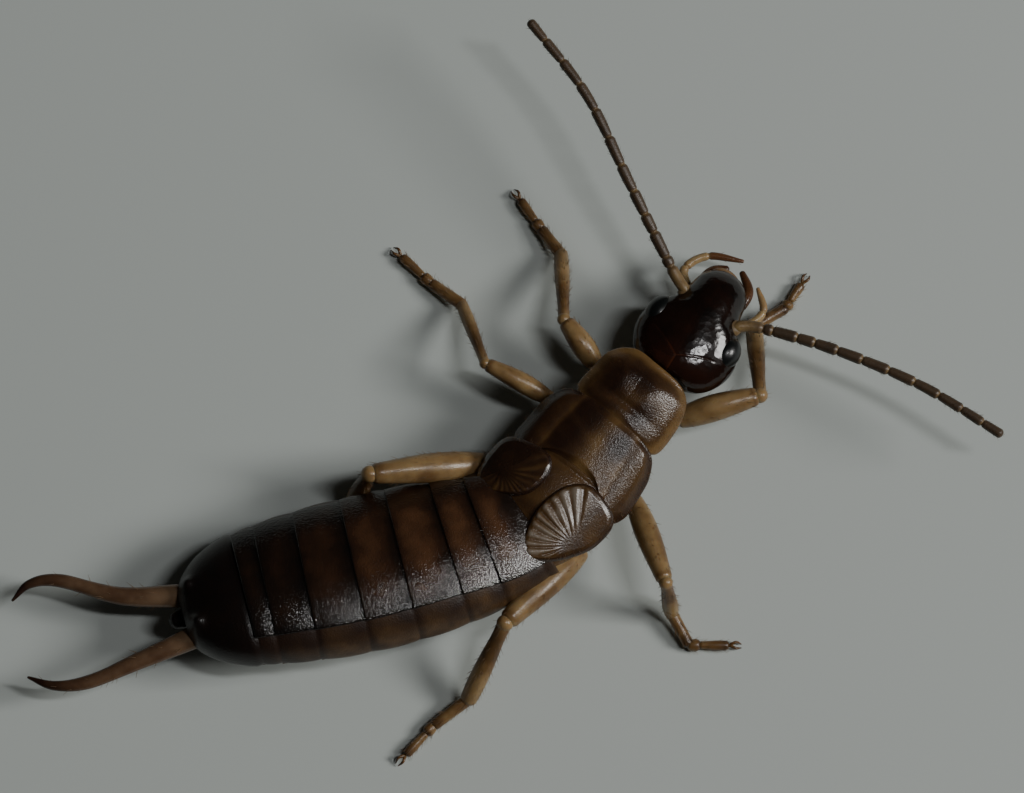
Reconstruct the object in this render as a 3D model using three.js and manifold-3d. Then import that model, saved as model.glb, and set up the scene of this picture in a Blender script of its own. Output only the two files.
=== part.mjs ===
// A European earwig nymph in its last stage, life size, standing as it walks.
// Millimetres, +Z up. +X runs forward along the mean line of the body, +Y to the animal's left.
// Every piece is a closed loft or plate, and each piece that grows from another is cut
// by a slightly swollen copy of it, so that the two meet face to face across one thin gap.

import * as THREE from 'three'
import { mergeVertices } from 'three/addons/utils/BufferGeometryUtils.js'
import Module from 'manifold-3d'

const wasm = await Module()
wasm.setup()

// Sizes that everything follows

const gap = 0.06
const floorCentre = [-1.41, -0.26]
const sideTurn = { left: 1, right: -1 }

// The line of the back, from the rear of the abdomen to the neck, as points in space

const spineLine = [
  [-6.75, -0.3, 0.98],
  [-5.5, -0.68, 1.0],
  [-3.7, -1.33, 1.04],
  [-2.2, -1.8, 1.08],
  [-1.05, -2.0, 1.14],
  [-0.1, -1.8, 1.2],
  [0.8, -1.47, 1.24],
  [1.6, -1.2, 1.27],
  [2.2, -0.96, 1.26],
]
const abdomenRoll = THREE.MathUtils.degToRad(16)
const rollEnds = [4.2, 6.6]

// Stations along that line, in millimetres from the rear of the abdomen

const station = { lastSegment: 0.95, abdomen: 5.98, metathorax: 7.16, mesothorax: 8.24, prothorax: 9.22 }
const tergiteEdges = [1.08, 1.45, 2.14, 2.99, 3.8, 4.63, 5.27, 5.9]
const edgeRaise = 0.05
const edgeDrop = 0.07

// Half width, height above the line and depth below it at stations of the abdomen and thorax

const abdomenSizes = [
  [-0.02, 0.5, 0.36, 0.34],
  [0.14, 0.8, 0.48, 0.42],
  [0.5, 1.05, 0.6, 0.5],
  [1.08, 1.25, 0.72, 0.54],
  [2.1, 1.41, 0.82, 0.58],
  [3.2, 1.47, 0.86, 0.58],
  [4.3, 1.42, 0.84, 0.57],
  [5.3, 1.26, 0.74, 0.55],
  [6.1, 1.1, 0.6, 0.54],
]
const thoraxSizes = [
  [5.95, 0.98, 0.58, 0.58],
  [6.6, 0.96, 0.58, 0.6],
  [7.2, 0.93, 0.56, 0.6],
  [8.2, 0.86, 0.52, 0.58],
  [8.8, 0.8, 0.5, 0.54],
  [9.3, 0.62, 0.42, 0.42],
]

const wasmMeshOf = (geometry) => {
  const plain = new THREE.BufferGeometry()
  plain.setAttribute('position', geometry.getAttribute('position'))
  plain.setIndex(geometry.getIndex())
  const merged = mergeVertices(plain, 1e-5)
  return new wasm.Mesh({
    numProp: 3,
    vertProperties: new Float32Array(merged.getAttribute('position').array),
    triVerts: new Uint32Array(merged.getIndex().array),
  })
}

const solidOf = (geometry) => new wasm.Manifold(wasmMeshOf(geometry))

const geometryOf = (solid) => {
  const mesh = solid.getMesh()
  const geometry = new THREE.BufferGeometry()
  geometry.setAttribute('position', new THREE.BufferAttribute(mesh.vertProperties, 3))
  geometry.setIndex(new THREE.BufferAttribute(mesh.triVerts, 1))
  return geometry
}

const largestPiece = (solid) => {
  const pieces = solid.decompose()
  pieces.sort((a, b) => b.volume() - a.volume())
  return pieces[0]
}

const joined = (solids) => solids.reduce((sum, solid) => sum.add(solid))

const cutBy = (solid, cutters) => largestPiece(cutters.reduce((rest, cutter) => rest.subtract(cutter), solid))

// A closed loft through rings of points that all have the same number of points

const loft = (rings) => {
  const count = rings[0].length
  const positions = []
  const indices = []
  rings.flat().forEach((point) => positions.push(point.x, point.y, point.z))
  for (let ring = 0; ring < rings.length - 1; ring += 1) {
    for (let i = 0; i < count; i += 1) {
      const next = (i + 1) % count
      const a = ring * count + i
      const b = ring * count + next
      indices.push(a, b, b + count, a, b + count, a + count)
    }
  }
  const addCap = (ring, firstIndex, forward) => {
    const middle = ring.reduce((sum, point) => sum.add(point), new THREE.Vector3()).divideScalar(count)
    const centre = positions.length / 3
    positions.push(middle.x, middle.y, middle.z)
    for (let i = 0; i < count; i += 1) {
      const next = (i + 1) % count
      const pair = forward ? [firstIndex + i, firstIndex + next] : [firstIndex + next, firstIndex + i]
      indices.push(centre, ...pair)
    }
  }
  addCap(rings[0], 0, false)
  addCap(rings[rings.length - 1], (rings.length - 1) * count, true)
  const geometry = new THREE.BufferGeometry()
  geometry.setAttribute('position', new THREE.Float32BufferAttribute(positions, 3))
  geometry.setIndex(indices)
  const solid = solidOf(geometry)
  return solid.volume() > 0 ? solid : solidOf(flipped(geometry))
}

const flipped = (geometry) => {
  const index = geometry.getIndex().array
  const turned = []
  for (let i = 0; i < index.length; i += 3) turned.push(index[i], index[i + 2], index[i + 1])
  geometry.setIndex(turned)
  return geometry
}

// Values between the rows of a table whose first column rises

const between = (table, at) => {
  const last = table.length - 1
  if (at <= table[0][0]) return table[0].slice(1)
  if (at >= table[last][0]) return table[last].slice(1)
  const row = table.findIndex((entry) => entry[0] > at)
  const part = (at - table[row - 1][0]) / (table[row][0] - table[row - 1][0])
  const eased = THREE.MathUtils.lerp(part, part * part * (3 - 2 * part), 0.35)
  return table[row].slice(1).map((value, i) => THREE.MathUtils.lerp(table[row - 1][i + 1], value, eased))
}

// Places on the body: a station along the line, a distance to the left and a rise above it

const spine = new THREE.CatmullRomCurve3(
  spineLine.map((point) => new THREE.Vector3(...point)),
  false,
  'catmullrom',
  0.5,
)
const spineLength = spine.getLength()

const bodyFrame = (along) => {
  const share = THREE.MathUtils.clamp(along / spineLength, 0, 1)
  const forward = spine.getTangentAt(share)
  const centre = spine.getPointAt(share).addScaledVector(forward, along - share * spineLength)
  const flatLeft = new THREE.Vector3(-forward.y, forward.x, 0).normalize()
  const flatUp = forward.clone().cross(flatLeft)
  const roll = abdomenRoll * (1 - THREE.MathUtils.smoothstep(along, ...rollEnds))
  const left = flatLeft.clone().multiplyScalar(Math.cos(roll)).addScaledVector(flatUp, -Math.sin(roll))
  const up = flatUp.multiplyScalar(Math.cos(roll)).addScaledVector(flatLeft, Math.sin(roll))
  return { centre, forward, left, up }
}

const onBody = (along, side, rise) => {
  const { centre, left, up } = bodyFrame(along)
  return centre.addScaledVector(left, side).addScaledVector(up, rise)
}

// A ring round the line, a little fuller at its corners than an ellipse

const fullness = 0.86

const bodyRing = (along, half, top, bottom, count) =>
  Array.from({ length: count }, (_, i) => {
    const angle = (i / count) * 2 * Math.PI
    const wide = Math.sign(Math.cos(angle)) * Math.abs(Math.cos(angle)) ** fullness
    const high = Math.sign(Math.sin(angle)) * Math.abs(Math.sin(angle)) ** fullness
    return onBody(along, half * wide, (high > 0 ? top : bottom) * high)
  })

const bodyLoft = (stations, sizesAt, count, swell = 0) => {
  const last = stations.length - 1
  return loft(
    stations.map((along, i) => {
      const reach = i === 0 ? -swell : i === last ? swell : 0
      const [half, top, bottom] = sizesAt(along).map((size) => size + swell)
      return bodyRing(along + reach, half, top, bottom, count)
    }),
  )
}

const evenly = (from, to, steps) =>
  Array.from({ length: steps + 1 }, (_, i) => THREE.MathUtils.lerp(from, to, i / steps))

// The abdomen: each tergite rises towards its rear edge and steps down onto the next

const bodySides = 24

const tergiteLift = (along) => {
  const rear = tergiteEdges.findLast((edge) => edge <= along)
  const front = tergiteEdges.find((edge) => edge > along)
  if (rear === undefined || front === undefined) return 0
  const share = (along - rear) / (front - rear)
  return THREE.MathUtils.lerp(edgeRaise, -0.02, share)
}

const abdomenSizesAt = (along) => between(abdomenSizes, along).map((size) => size + tergiteLift(along))

const abdomenStations = tergiteEdges
  .slice(0, -1)
  .flatMap((edge, i) => [edge - edgeDrop / 2, edge, (edge + tergiteEdges[i + 1]) / 2])

const abdomenSolid = (swell = 0) => {
  const inside = abdomenStations.filter((along) => along > station.lastSegment + gap + edgeDrop)
  const stations = [station.lastSegment + gap, ...inside, station.abdomen - gap]
  return bodyLoft(stations, abdomenSizesAt, bodySides, swell)
}

// The last segment: blunt, black, with two low tubercles above the forceps

const tubercle = { along: 0.12, side: 0.38, rise: 0.4, radius: 0.17 }

const lastSegmentSolid = (swell = 0) => {
  const stations = [-0.02, 0.04, 0.14, 0.3, 0.5, 0.75, station.lastSegment - gap / 2]
  const body = bodyLoft(stations, (along) => between(abdomenSizes, along), bodySides, swell)
  const tubercles = Object.values(sideTurn).map((turn) =>
    ball(onBody(tubercle.along, turn * tubercle.side, tubercle.rise), tubercle.radius + swell),
  )
  return joined([body, ...tubercles])
}

const ballFaces = { around: 14, down: 9 }

const ball = (centre, radius, stretch = [1, 1, 1], heading = 0) => {
  const geometry = new THREE.SphereGeometry(radius, ballFaces.around, ballFaces.down)
  geometry.scale(...stretch)
  geometry.rotateZ(heading)
  geometry.translate(centre.x, centre.y, centre.z)
  return solidOf(geometry)
}

// Limbs: round lofts along a curve, whose ends narrow to a share of the radius over a short inset

const bluntEnd = { width: 0.7, insetByRadius: 0.45, insetByLength: 0.2 }

const curveThrough = (points) => {
  const places = points.map((point) => new THREE.Vector3(...point))
  return new THREE.CatmullRomCurve3(places, false, 'centripetal')
}

const limb = (points, radii, { sides = 10, steps = 8, swell = 0, flat = 1 } = {}) => {
  const curve = curveThrough(points)
  const length = curve.getLength()
  const radiusAt = (share) => radiusAlong(radii, share) + swell
  const up = new THREE.Vector3(0, 0, 1)
  const ring = (share, radius, reach) => {
    const forward = curve.getTangentAt(share)
    const left = up.clone().cross(forward).normalize()
    const rise = forward.clone().cross(left)
    const centre = curve.getPointAt(share).addScaledVector(forward, reach)
    return Array.from({ length: sides }, (_, i) => {
      const angle = (i / sides) * 2 * Math.PI
      return centre
        .clone()
        .addScaledVector(left, radius * Math.cos(angle))
        .addScaledVector(rise, radius * flat * Math.sin(angle))
    })
  }
  const rings = [ring(0, bluntEnd.width * radiusAt(0), -swell)]
  evenly(0, 1, steps).forEach((share) => {
    const inset = Math.min(bluntEnd.insetByRadius * radiusAt(share), bluntEnd.insetByLength * length)
    const kept = THREE.MathUtils.clamp(share, inset / length, 1 - inset / length)
    rings.push(ring(kept, radiusAt(share), share === 0 ? -swell : share === 1 ? swell : 0))
  })
  rings.push(ring(1, bluntEnd.width * radiusAt(1), swell))
  return loft(rings)
}

const radiusAlong = (radii, share) => {
  if (typeof radii === 'function') return radii(share)
  const table = radii.map((radius, i) => [i / (radii.length - 1), radius])
  return between(table, share)[0]
}

// Thorax: the neck, three segments and the shield over the first of them

const thoraxSizesAt = (along) => between(thoraxSizes, along)

const thoraxSegment = (from, to, swell = 0) =>
  bodyLoft(evenly(from + gap / 2, to - gap / 2, 4), thoraxSizesAt, bodySides, swell)

// A thin plate over the body: its outline in stations and sides, its top and its thickness

const plateThick = { pronotum: 0.26, forePad: 0.3, hindPad: 0.3 }
const innerRing = 0.25
const rimThinning = 0.55
const archFoot = 0.02

const plate = ({ outline, turn, top, thick, swell = 0, rings = 4, count = 30 }) => {
  const curve = new THREE.CatmullRomCurve3(
    outline.map(([along, side]) => new THREE.Vector3(along, side * turn, 0)),
    true,
    'centripetal',
  )
  const rim = curve.getSpacedPoints(count).slice(0, count)
  const middle = rim.reduce((sum, point) => sum.add(point), new THREE.Vector3()).divideScalar(count)
  const spread = (point, share) => {
    const out = point.clone().sub(middle)
    return middle.clone().addScaledVector(out, share * (1 + swell / out.length()))
  }
  const layer = (share, over) =>
    rim.map((point) => {
      const place = spread(point, share)
      const rise = top(place.x, place.y * turn, share)
      const depth = over ? swell : -thick * (1 - rimThinning * share ** 3) - swell
      return onBody(place.x, place.y, rise + depth)
    })
  const shares = evenly(innerRing, 1, rings - 1)
  const over = shares.map((share) => layer(share, true))
  const under = shares.map((share) => layer(share, false))
  return loft([...over, ...under.reverse()])
}

const arch = (half, height) => (along, side) => height * Math.sqrt(Math.max(archFoot, 1 - (side / half) ** 2))

const pronotumOutline = [
  [9.32, 0],
  [9.3, 0.5],
  [9.13, 0.78],
  [8.72, 0.85],
  [8.4, 0.84],
  [8.26, 0.6],
  [8.25, 0],
  [8.24, -0.6],
  [8.32, -0.93],
  [8.7, -0.96],
  [9.14, -0.85],
  [9.32, -0.58],
]
const pronotumArch = arch(1.06, 0.62)

const pronotumSolid = (swell = 0) =>
  plate({
    outline: pronotumOutline,
    turn: 1,
    top: pronotumArch,
    thick: plateThick.pronotum,
    swell,
    count: 32,
  })

const prothoraxSolid = (swell = 0) =>
  joined([thoraxSegment(station.mesothorax, station.prothorax, swell), pronotumSolid(swell)])

// Wing pads: the fore pads as long strips down the sides, the hind pads as folded fans

const forePadOutline = [
  [8.2, 0.66],
  [8.18, 0.98],
  [7.9, 1.13],
  [7.5, 1.18],
  [7.12, 1.19],
  [6.94, 1.06],
  [7.06, 0.84],
  [7.4, 0.66],
  [7.8, 0.62],
]
const forePadArch = arch(1.26, 0.63)

const forePadSolid = (turn, swell = 0) =>
  plate({
    outline: forePadOutline,
    turn,
    top: forePadArch,
    thick: plateThick.forePad,
    swell,
    rings: 3,
    count: 24,
  })

const hindPadOutline = [
  [7.1, 0.34],
  [7.06, 0.72],
  [6.86, 1.08],
  [6.5, 1.15],
  [6.16, 1.04],
  [5.86, 0.86],
  [5.68, 0.64],
  [5.8, 0.42],
  [6.12, 0.2],
  [6.45, 0.09],
  [6.84, 0.15],
]
const fan = { pivotAlong: 6.32, pivotSide: 0.88, folds: 10, height: 0.03, clear: 0.18 }

const hindPadArch = arch(1.24, 0.75)

const hindPadTop = (along, side, share) => {
  const dome = hindPadArch(along, side)
  const reach = Math.hypot(along - fan.pivotAlong, side - fan.pivotSide)
  const bearing = Math.atan2(fan.pivotSide - side, along - fan.pivotAlong)
  const strength = share < 1 ? THREE.MathUtils.smoothstep(reach, fan.clear, 3 * fan.clear) : 0
  return dome + fan.height * strength * Math.cos(2 * fan.folds * bearing)
}

const hindPadSolid = (turn) =>
  plate({ outline: hindPadOutline, turn, top: hindPadTop, thick: plateThick.hindPad, rings: 4, count: 40 })

const hindPadCutter = (turn) =>
  plate({
    outline: hindPadOutline,
    turn,
    top: hindPadArch,
    thick: plateThick.hindPad,
    swell: gap + fan.height,
    rings: 3,
    count: 24,
  })

// Head: broad behind, drawn in to the mouth, with its own heading and a slight nod

const head = {
  base: [2.36, -1.13, 1.27],
  heading: THREE.MathUtils.degToRad(25),
  nod: THREE.MathUtils.degToRad(7),
}
const headSizes = [
  [0.12, 0.26, 0.2, 0.18],
  [0.0, 0.46, 0.36, 0.3],
  [0.08, 0.64, 0.45, 0.36],
  [0.25, 0.8, 0.54, 0.43],
  [0.5, 0.91, 0.58, 0.46],
  [0.75, 0.93, 0.58, 0.47],
  [1.0, 0.86, 0.56, 0.46],
  [1.18, 0.74, 0.54, 0.44],
  [1.35, 0.6, 0.51, 0.41],
  [1.6, 0.52, 0.45, 0.35],
  [1.85, 0.48, 0.35, 0.27],
  [2.02, 0.38, 0.25, 0.2],
  [2.14, 0.22, 0.15, 0.12],
]
const headSides = 26

const onHead = (along, side, rise) =>
  new THREE.Vector3(along, side, rise)
    .applyAxisAngle(new THREE.Vector3(0, 1, 0), head.nod)
    .applyAxisAngle(new THREE.Vector3(0, 0, 1), head.heading)
    .add(new THREE.Vector3(...head.base))

const listed = (point) => point.toArray()

const headSolid = (swell = 0) => {
  const last = headSizes.length - 1
  return loft(
    headSizes.map(([along, half, top, bottom], row) =>
      Array.from({ length: headSides }, (_, i) => {
        const angle = (i / headSides) * 2 * Math.PI
        const high = Math.sin(angle)
        const reach = row < 2 ? -swell : row === last ? swell : 0
        return onHead(
          along + reach,
          (half + swell) * Math.cos(angle),
          (high > 0 ? top + swell : bottom + swell) * high,
        )
      }),
    ),
  )
}

const eye = { along: 0.96, side: 0.76, rise: 0.12, radius: 0.26, stretch: [1, 0.72, 0.9] }

const eyeSolid = (turn) =>
  cutBy(ball(onHead(eye.along, turn * eye.side, eye.rise), eye.radius, eye.stretch, head.heading), [
    headSolid(gap / 2),
  ])

const neckLine = [onBody(9.05, 0, -0.02), onBody(9.5, -0.06, -0.02), onHead(0.5, 0, -0.02)].map(listed)
const neckRadii = [0.33, 0.3, 0.3]

const neckSolid = () => cutBy(limb(neckLine, neckRadii), [headSolid(gap), prothoraxSolid(gap)])

// Mouth: the upper lip and jaws in one, with a jaw lobe at the right, and a palp on each side

const headLine = (places) => places.map((place) => listed(onHead(...place)))

const lip = { place: [2.04, 0.08, -0.08], radius: 0.32, stretch: [0.85, 1, 0.6] }
const jawLobe = {
  line: headLine([
    [1.8, -0.42, -0.14],
    [2.16, -0.38, -0.18],
    [2.42, -0.08, -0.22],
  ]),
  radii: [0.15, 0.14, 0.1],
}

const mouthForm = (swell = 0) =>
  joined([
    ball(onHead(...lip.place), lip.radius + swell, lip.stretch, head.heading),
    limb(jawLobe.line, jawLobe.radii, { sides: 8, steps: 5, swell }),
  ])

const mouthSolid = () => cutBy(mouthForm(), [headSolid(gap)])

const palpLines = {
  left: headLine([
    [1.6, 0.42, -0.32],
    [1.9, 0.78, -0.3],
    [2.34, 0.58, -0.28],
    [2.58, 0.0, -0.24],
  ]),
  right: headLine([
    [1.4, -0.42, -0.32],
    [1.72, -0.68, -0.32],
    [2.06, -0.76, -0.3],
    [2.34, -0.44, -0.26],
  ]),
}
const palpRadii = [0.15, 0.14, 0.12, 0.09]

const palpSolid = (side) =>
  cutBy(limb(palpLines[side], palpRadii, { sides: 8 }), [headSolid(gap), mouthForm(gap)])

// Antennae: a stout first segment, then a string of beads

const antennaLines = {
  left: [
    [3.45, -0.1, 1.34],
    [3.46, 0.42, 1.42],
    [3.6, 1.98, 1.75],
    [3.76, 3.62, 2.02],
    [3.6, 5.21, 2.2],
  ],
  right: [
    [3.8, -1.05, 1.34],
    [4.19, -1.3, 1.36],
    [5.08, -2.36, 1.5],
    [5.95, -3.66, 1.62],
    [6.63, -5.11, 1.7],
  ],
}
const scapeLength = 0.5
const scapeRoot = 0.22
const scapeRadii = [0.2, 0.22, 0.2]
const beadLengths = [0.12, 0.45, 0.33, 0.42, 0.47, 0.5, 0.5, 0.49, 0.47, 0.44, 0.42]
const beadRadii = [0.2, 0.13]
const beadWaist = 0.8
const beadPlaces = [0, 0.2, 0.8]
const beadSides = 8
const lastBeadEnd = 0.5

const scapeSolid = (side, swell = 0) => {
  const curve = curveThrough(antennaLines[side])
  const share = scapeLength / curve.getLength()
  const root = curve.getPointAt(0).addScaledVector(curve.getTangentAt(0), -scapeRoot)
  const points = [root, curve.getPointAt(share / 2), curve.getPointAt(share)]
  return limb(points.map(listed), scapeRadii, { sides: 10, steps: 4, swell })
}

const flagellumSolid = (side) => {
  const curve = curveThrough(antennaLines[side])
  const length = curve.getLength()
  const start = (scapeLength + gap) / length
  const beadTotal = beadLengths.reduce((sum, bead) => sum + bead, 0)
  const rings = []
  let along = 0
  beadLengths.forEach((bead) => {
    beadPlaces.forEach((place) => {
      const done = (along + place * bead) / beadTotal
      const radius = THREE.MathUtils.lerp(...beadRadii, done) * (place === 0 ? beadWaist : 1)
      rings.push(ringOn(curve, THREE.MathUtils.lerp(start, 1, done), radius, beadSides))
    })
    along += bead
  })
  rings.push(ringOn(curve, 1, beadRadii[1] * lastBeadEnd, beadSides))
  return loft(rings)
}

const ringOn = (curve, share, radius, sides) => {
  const forward = curve.getTangentAt(share)
  const left = new THREE.Vector3(0, 0, 1).cross(forward).normalize()
  const rise = forward.clone().cross(left)
  const centre = curve.getPointAt(share)
  return Array.from({ length: sides }, (_, i) => {
    const angle = (i / sides) * 2 * Math.PI
    return centre
      .clone()
      .addScaledVector(left, radius * Math.cos(angle))
      .addScaledVector(rise, radius * Math.sin(angle))
  })
}

// Forceps: slender, nearly straight, hooked inward at their dark tips

const forcepsLines = {
  left: [
    [-6.45, 0.02, 0.96],
    [-7.49, 0.6, 0.96],
    [-8.22, 1.37, 0.93],
    [-8.69, 1.6, 0.91],
    [-9.13, 1.5, 0.9],
  ],
  right: [
    [-6.6, -0.72, 1.04],
    [-7.79, -0.54, 1.0],
    [-8.7, -0.39, 0.95],
    [-9.24, -0.13, 0.92],
    [-9.52, 0.24, 0.9],
  ],
}
const forcepsRadii = [0.2, 0.21, 0.2, 0.19, 0.16, 0.12, 0.05]

const forcepsSolid = (side) =>
  cutBy(limb(forcepsLines[side], forcepsRadii, { sides: 12, steps: 14 }), [lastSegmentSolid(gap)])

// The small stub between the roots of the forceps

const pygidium = { line: [onBody(0.2, 0, -0.05), onBody(-0.3, 0, -0.05)].map(listed), radii: [0.22, 0.13] }

const pygidiumSolid = () => cutBy(limb(pygidium.line, pygidium.radii, { steps: 3 }), [lastSegmentSolid(gap)])

// Legs: joints in space from root to claws, all the way round the body

const legLines = {
  front_left: {
    root: [1.66, -0.88, 0.78],
    hip: [1.53, -0.32, 0.85],
    knee: [1.46, 0.66, 1.08],
    ankle: [2.13, 1.81, 0.28],
    toes: [
      [2.09, 2.4, 0.15],
      [2.06, 3.05, 0.12],
    ],
    thick: 1,
  },
  middle_left: {
    root: [0.72, -1.12, 0.74],
    hip: [0.58, -0.4, 0.82],
    knee: [-0.1, 0.71, 1.15],
    ankle: [0.21, 1.97, 0.28],
    toes: [
      [-0.03, 2.59, 0.15],
      [-0.21, 3.28, 0.12],
    ],
    thick: 0.94,
  },
  hind_left: {
    root: [-0.55, -1.5, 0.7],
    hip: [-0.86, -0.82, 0.9],
    knee: [-2.84, 0.02, 1.66],
    ankle: [-3.2, 0.0, 0.3],
    toes: [
      [-3.62, -0.34, 0.14],
      [-4.1, -0.62, 0.12],
    ],
    thick: 0.96,
  },
  front_right: {
    root: [1.72, -1.5, 0.78],
    hip: [2.16, -1.8, 0.84],
    knee: [3.6, -2.24, 1.06],
    ankle: [4.27, -1.02, 0.28],
    toes: [
      [4.92, -1.02, 0.15],
      [5.4, -0.8, 0.12],
    ],
    thick: 1,
  },
  middle_right: {
    root: [0.68, -1.95, 0.74],
    hip: [0.84, -2.55, 0.82],
    knee: [0.46, -4.19, 1.38],
    ankle: [0.39, -4.52, 0.3],
    toes: [
      [0.36, -5.13, 0.15],
      [0.95, -5.5, 0.12],
    ],
    thick: 0.94,
  },
  hind_right: {
    root: [-0.3, -2.25, 0.7],
    hip: [-0.34, -2.85, 0.76],
    knee: [-2.22, -3.33, 1.33],
    ankle: [-3.34, -3.95, 0.28],
    toes: [
      [-4.08, -4.0, 0.15],
      [-4.76, -4.18, 0.12],
    ],
    thick: 0.96,
  },
}
const coxaRadii = [0.3, 0.32, 0.26]
const femurRadii = [0.2, 0.25, 0.27, 0.26, 0.22]
const femurBow = 0.08
const tibiaRadii = [0.21, 0.2, 0.19, 0.2]
const tarsusRadii = [0.18, 0.17, 0.15, 0.16, 0.13]
const claw = { length: 0.26, spread: 0.5, radius: 0.07, drop: 0.04 }

const scaled = (radii, thick) => radii.map((radius) => radius * thick)

const coxaSolid = ({ root, hip, thick }, swell = 0) =>
  limb([root, hip], scaled(coxaRadii, thick), { steps: 4, swell })

const femurSolid = ({ hip, knee, thick }, swell = 0) => {
  const bow = hip.map((value, i) => (value + knee[i]) / 2 + (i === 2 ? femurBow : 0))
  return limb([hip, bow, knee], scaled(femurRadii, thick), { steps: 6, swell })
}

const tibiaSolid = ({ knee, ankle, thick }, swell = 0) =>
  limb([knee, ankle], scaled(tibiaRadii, thick), { steps: 4, swell })

const tarsusSolid = ({ ankle, toes }) => {
  const foot = limb([ankle, ...toes], tarsusRadii, { sides: 8, steps: 6 })
  const [before, tip] = toes
  const heading = Math.atan2(tip[1] - before[1], tip[0] - before[0])
  const claws = Object.values(sideTurn).map((turn) => {
    const bearing = heading + turn * claw.spread
    const [x, y] = [Math.cos(bearing), Math.sin(bearing)].map((part, i) => tip[i] + claw.length * part)
    const end = [x, y, claw.drop]
    return limb([tip, end], [claw.radius, claw.radius / 2], { sides: 5, steps: 2 })
  })
  return joined([foot, ...claws]).trimByPlane([0, 0, 1], 0)
}

// Materials, one for each kind of surface

const material = (color, roughness) => new THREE.MeshStandardMaterial({ color, roughness, metalness: 0 })

const looks = {
  headShell: () => material('#2a0f0a', 0.22),
  eyeShell: () => material('#0b0d0c', 0.18),
  shieldShell: () => material('#6b4220', 0.32),
  wingPad: () => material('#84603a', 0.4),
  abdomenShell: () => material('#3a1a0e', 0.3),
  blackShell: () => material('#120a08', 0.25),
  forcepsShell: () => material('#6a2e17', 0.3),
  legSkin: () => material('#a9803f', 0.35),
  feelerSkin: () => material('#4c3a2b', 0.45),
  mouthSkin: () => material('#8c5a2c', 0.35),
  neckSkin: () => material('#a07a4a', 0.5),
}

// The whole animal, one named mesh to a piece

const earwig = new THREE.Group()
const add = (name, solid, look) => {
  const mesh = new THREE.Mesh(geometryOf(solid), look())
  mesh.name = name
  earwig.add(mesh)
}

const bodyCutters = {
  head: headSolid(gap),
  prothorax: prothoraxSolid(gap),
  mesothorax: thoraxSegment(station.metathorax, station.mesothorax, gap),
  metathorax: thoraxSegment(station.abdomen, station.metathorax, gap),
  abdomen: abdomenSolid(gap),
}

const addHead = () => {
  add('head', headSolid(), looks.headShell)
  add('mouthparts', mouthSolid(), looks.mouthSkin)
  add('neck', neckSolid(), looks.neckSkin)
  Object.entries(sideTurn).forEach(([side, turn]) => {
    add(`eye_${side}`, cutBy(eyeSolid(turn), [scapeSolid(side, gap)]), looks.eyeShell)
    add(`palp_${side}`, palpSolid(side), looks.mouthSkin)
    add(`antenna_${side}_scape`, cutBy(scapeSolid(side), [bodyCutters.head]), looks.legSkin)
    add(`antenna_${side}_flagellum`, flagellumSolid(side), looks.feelerSkin)
  })
}

const addThorax = () => {
  const forePads = Object.values(sideTurn).map((turn) => forePadSolid(turn, gap))
  const hindPads = Object.values(sideTurn).map((turn) => hindPadCutter(turn))
  const mesothorax = thoraxSegment(station.metathorax, station.mesothorax)
  const metathorax = thoraxSegment(station.abdomen, station.metathorax)
  add('prothorax', prothoraxSolid(), looks.shieldShell)
  add('mesothorax', cutBy(mesothorax, [...forePads, ...hindPads, pronotumSolid(gap)]), looks.shieldShell)
  add('metathorax', cutBy(metathorax, [...forePads, ...hindPads]), looks.shieldShell)
  Object.entries(sideTurn).forEach(([side, turn], i) => {
    const forePad = cutBy(forePadSolid(turn), [hindPads[i], bodyCutters.prothorax])
    add(`fore_wing_pad_${side}`, forePad, looks.wingPad)
    add(`hind_wing_pad_${side}`, hindPadSolid(turn), looks.wingPad)
  })
  add('abdomen', cutBy(abdomenSolid(), hindPads), looks.abdomenShell)
}

const addTail = () => {
  add('last_segment', lastSegmentSolid(), looks.blackShell)
  add('pygidium', pygidiumSolid(), looks.blackShell)
  Object.keys(sideTurn).forEach((side) => add(`forceps_${side}`, forcepsSolid(side), looks.forcepsShell))
}

const addLegs = () => {
  const { head: headCutter, prothorax, mesothorax, metathorax, abdomen } = bodyCutters
  const bodyParts = [prothorax, mesothorax, metathorax, abdomen]
  Object.entries(legLines).forEach(([name, leg]) => {
    const turn = name.endsWith('left') ? 1 : -1
    const pads = [forePadSolid(turn, gap), hindPadCutter(turn)]
    add(`leg_${name}_coxa`, cutBy(coxaSolid(leg), [...bodyParts, ...pads]), looks.legSkin)
    const thighCutters = [coxaSolid(leg, gap), headCutter, ...bodyParts, ...pads]
    add(`leg_${name}_femur`, cutBy(femurSolid(leg), thighCutters), looks.legSkin)
    add(`leg_${name}_tibia`, cutBy(tibiaSolid(leg), [femurSolid(leg, gap), abdomen]), looks.legSkin)
    add(`leg_${name}_tarsus`, cutBy(tarsusSolid(leg), [tibiaSolid(leg, gap), abdomen]), looks.legSkin)
  })
}

addHead()
addThorax()
addTail()
addLegs()
earwig.position.set(-floorCentre[0], -floorCentre[1], 0)

export default earwig
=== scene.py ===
# %% [markdown]
# # An earwig nymph, life size
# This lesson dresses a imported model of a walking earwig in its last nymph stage. The solids give the size and
# the place of every part. Here each part is made again as a finer skin, with the plates, joints, bristles
# and colours of the living animal. All lengths below are millimetres in the animal's own drawing, and one
# helper turns them into the metres of the frame.

# %% Load the frame
import math
import bpy
import numpy as np
from mathutils import Matrix, Vector


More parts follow.
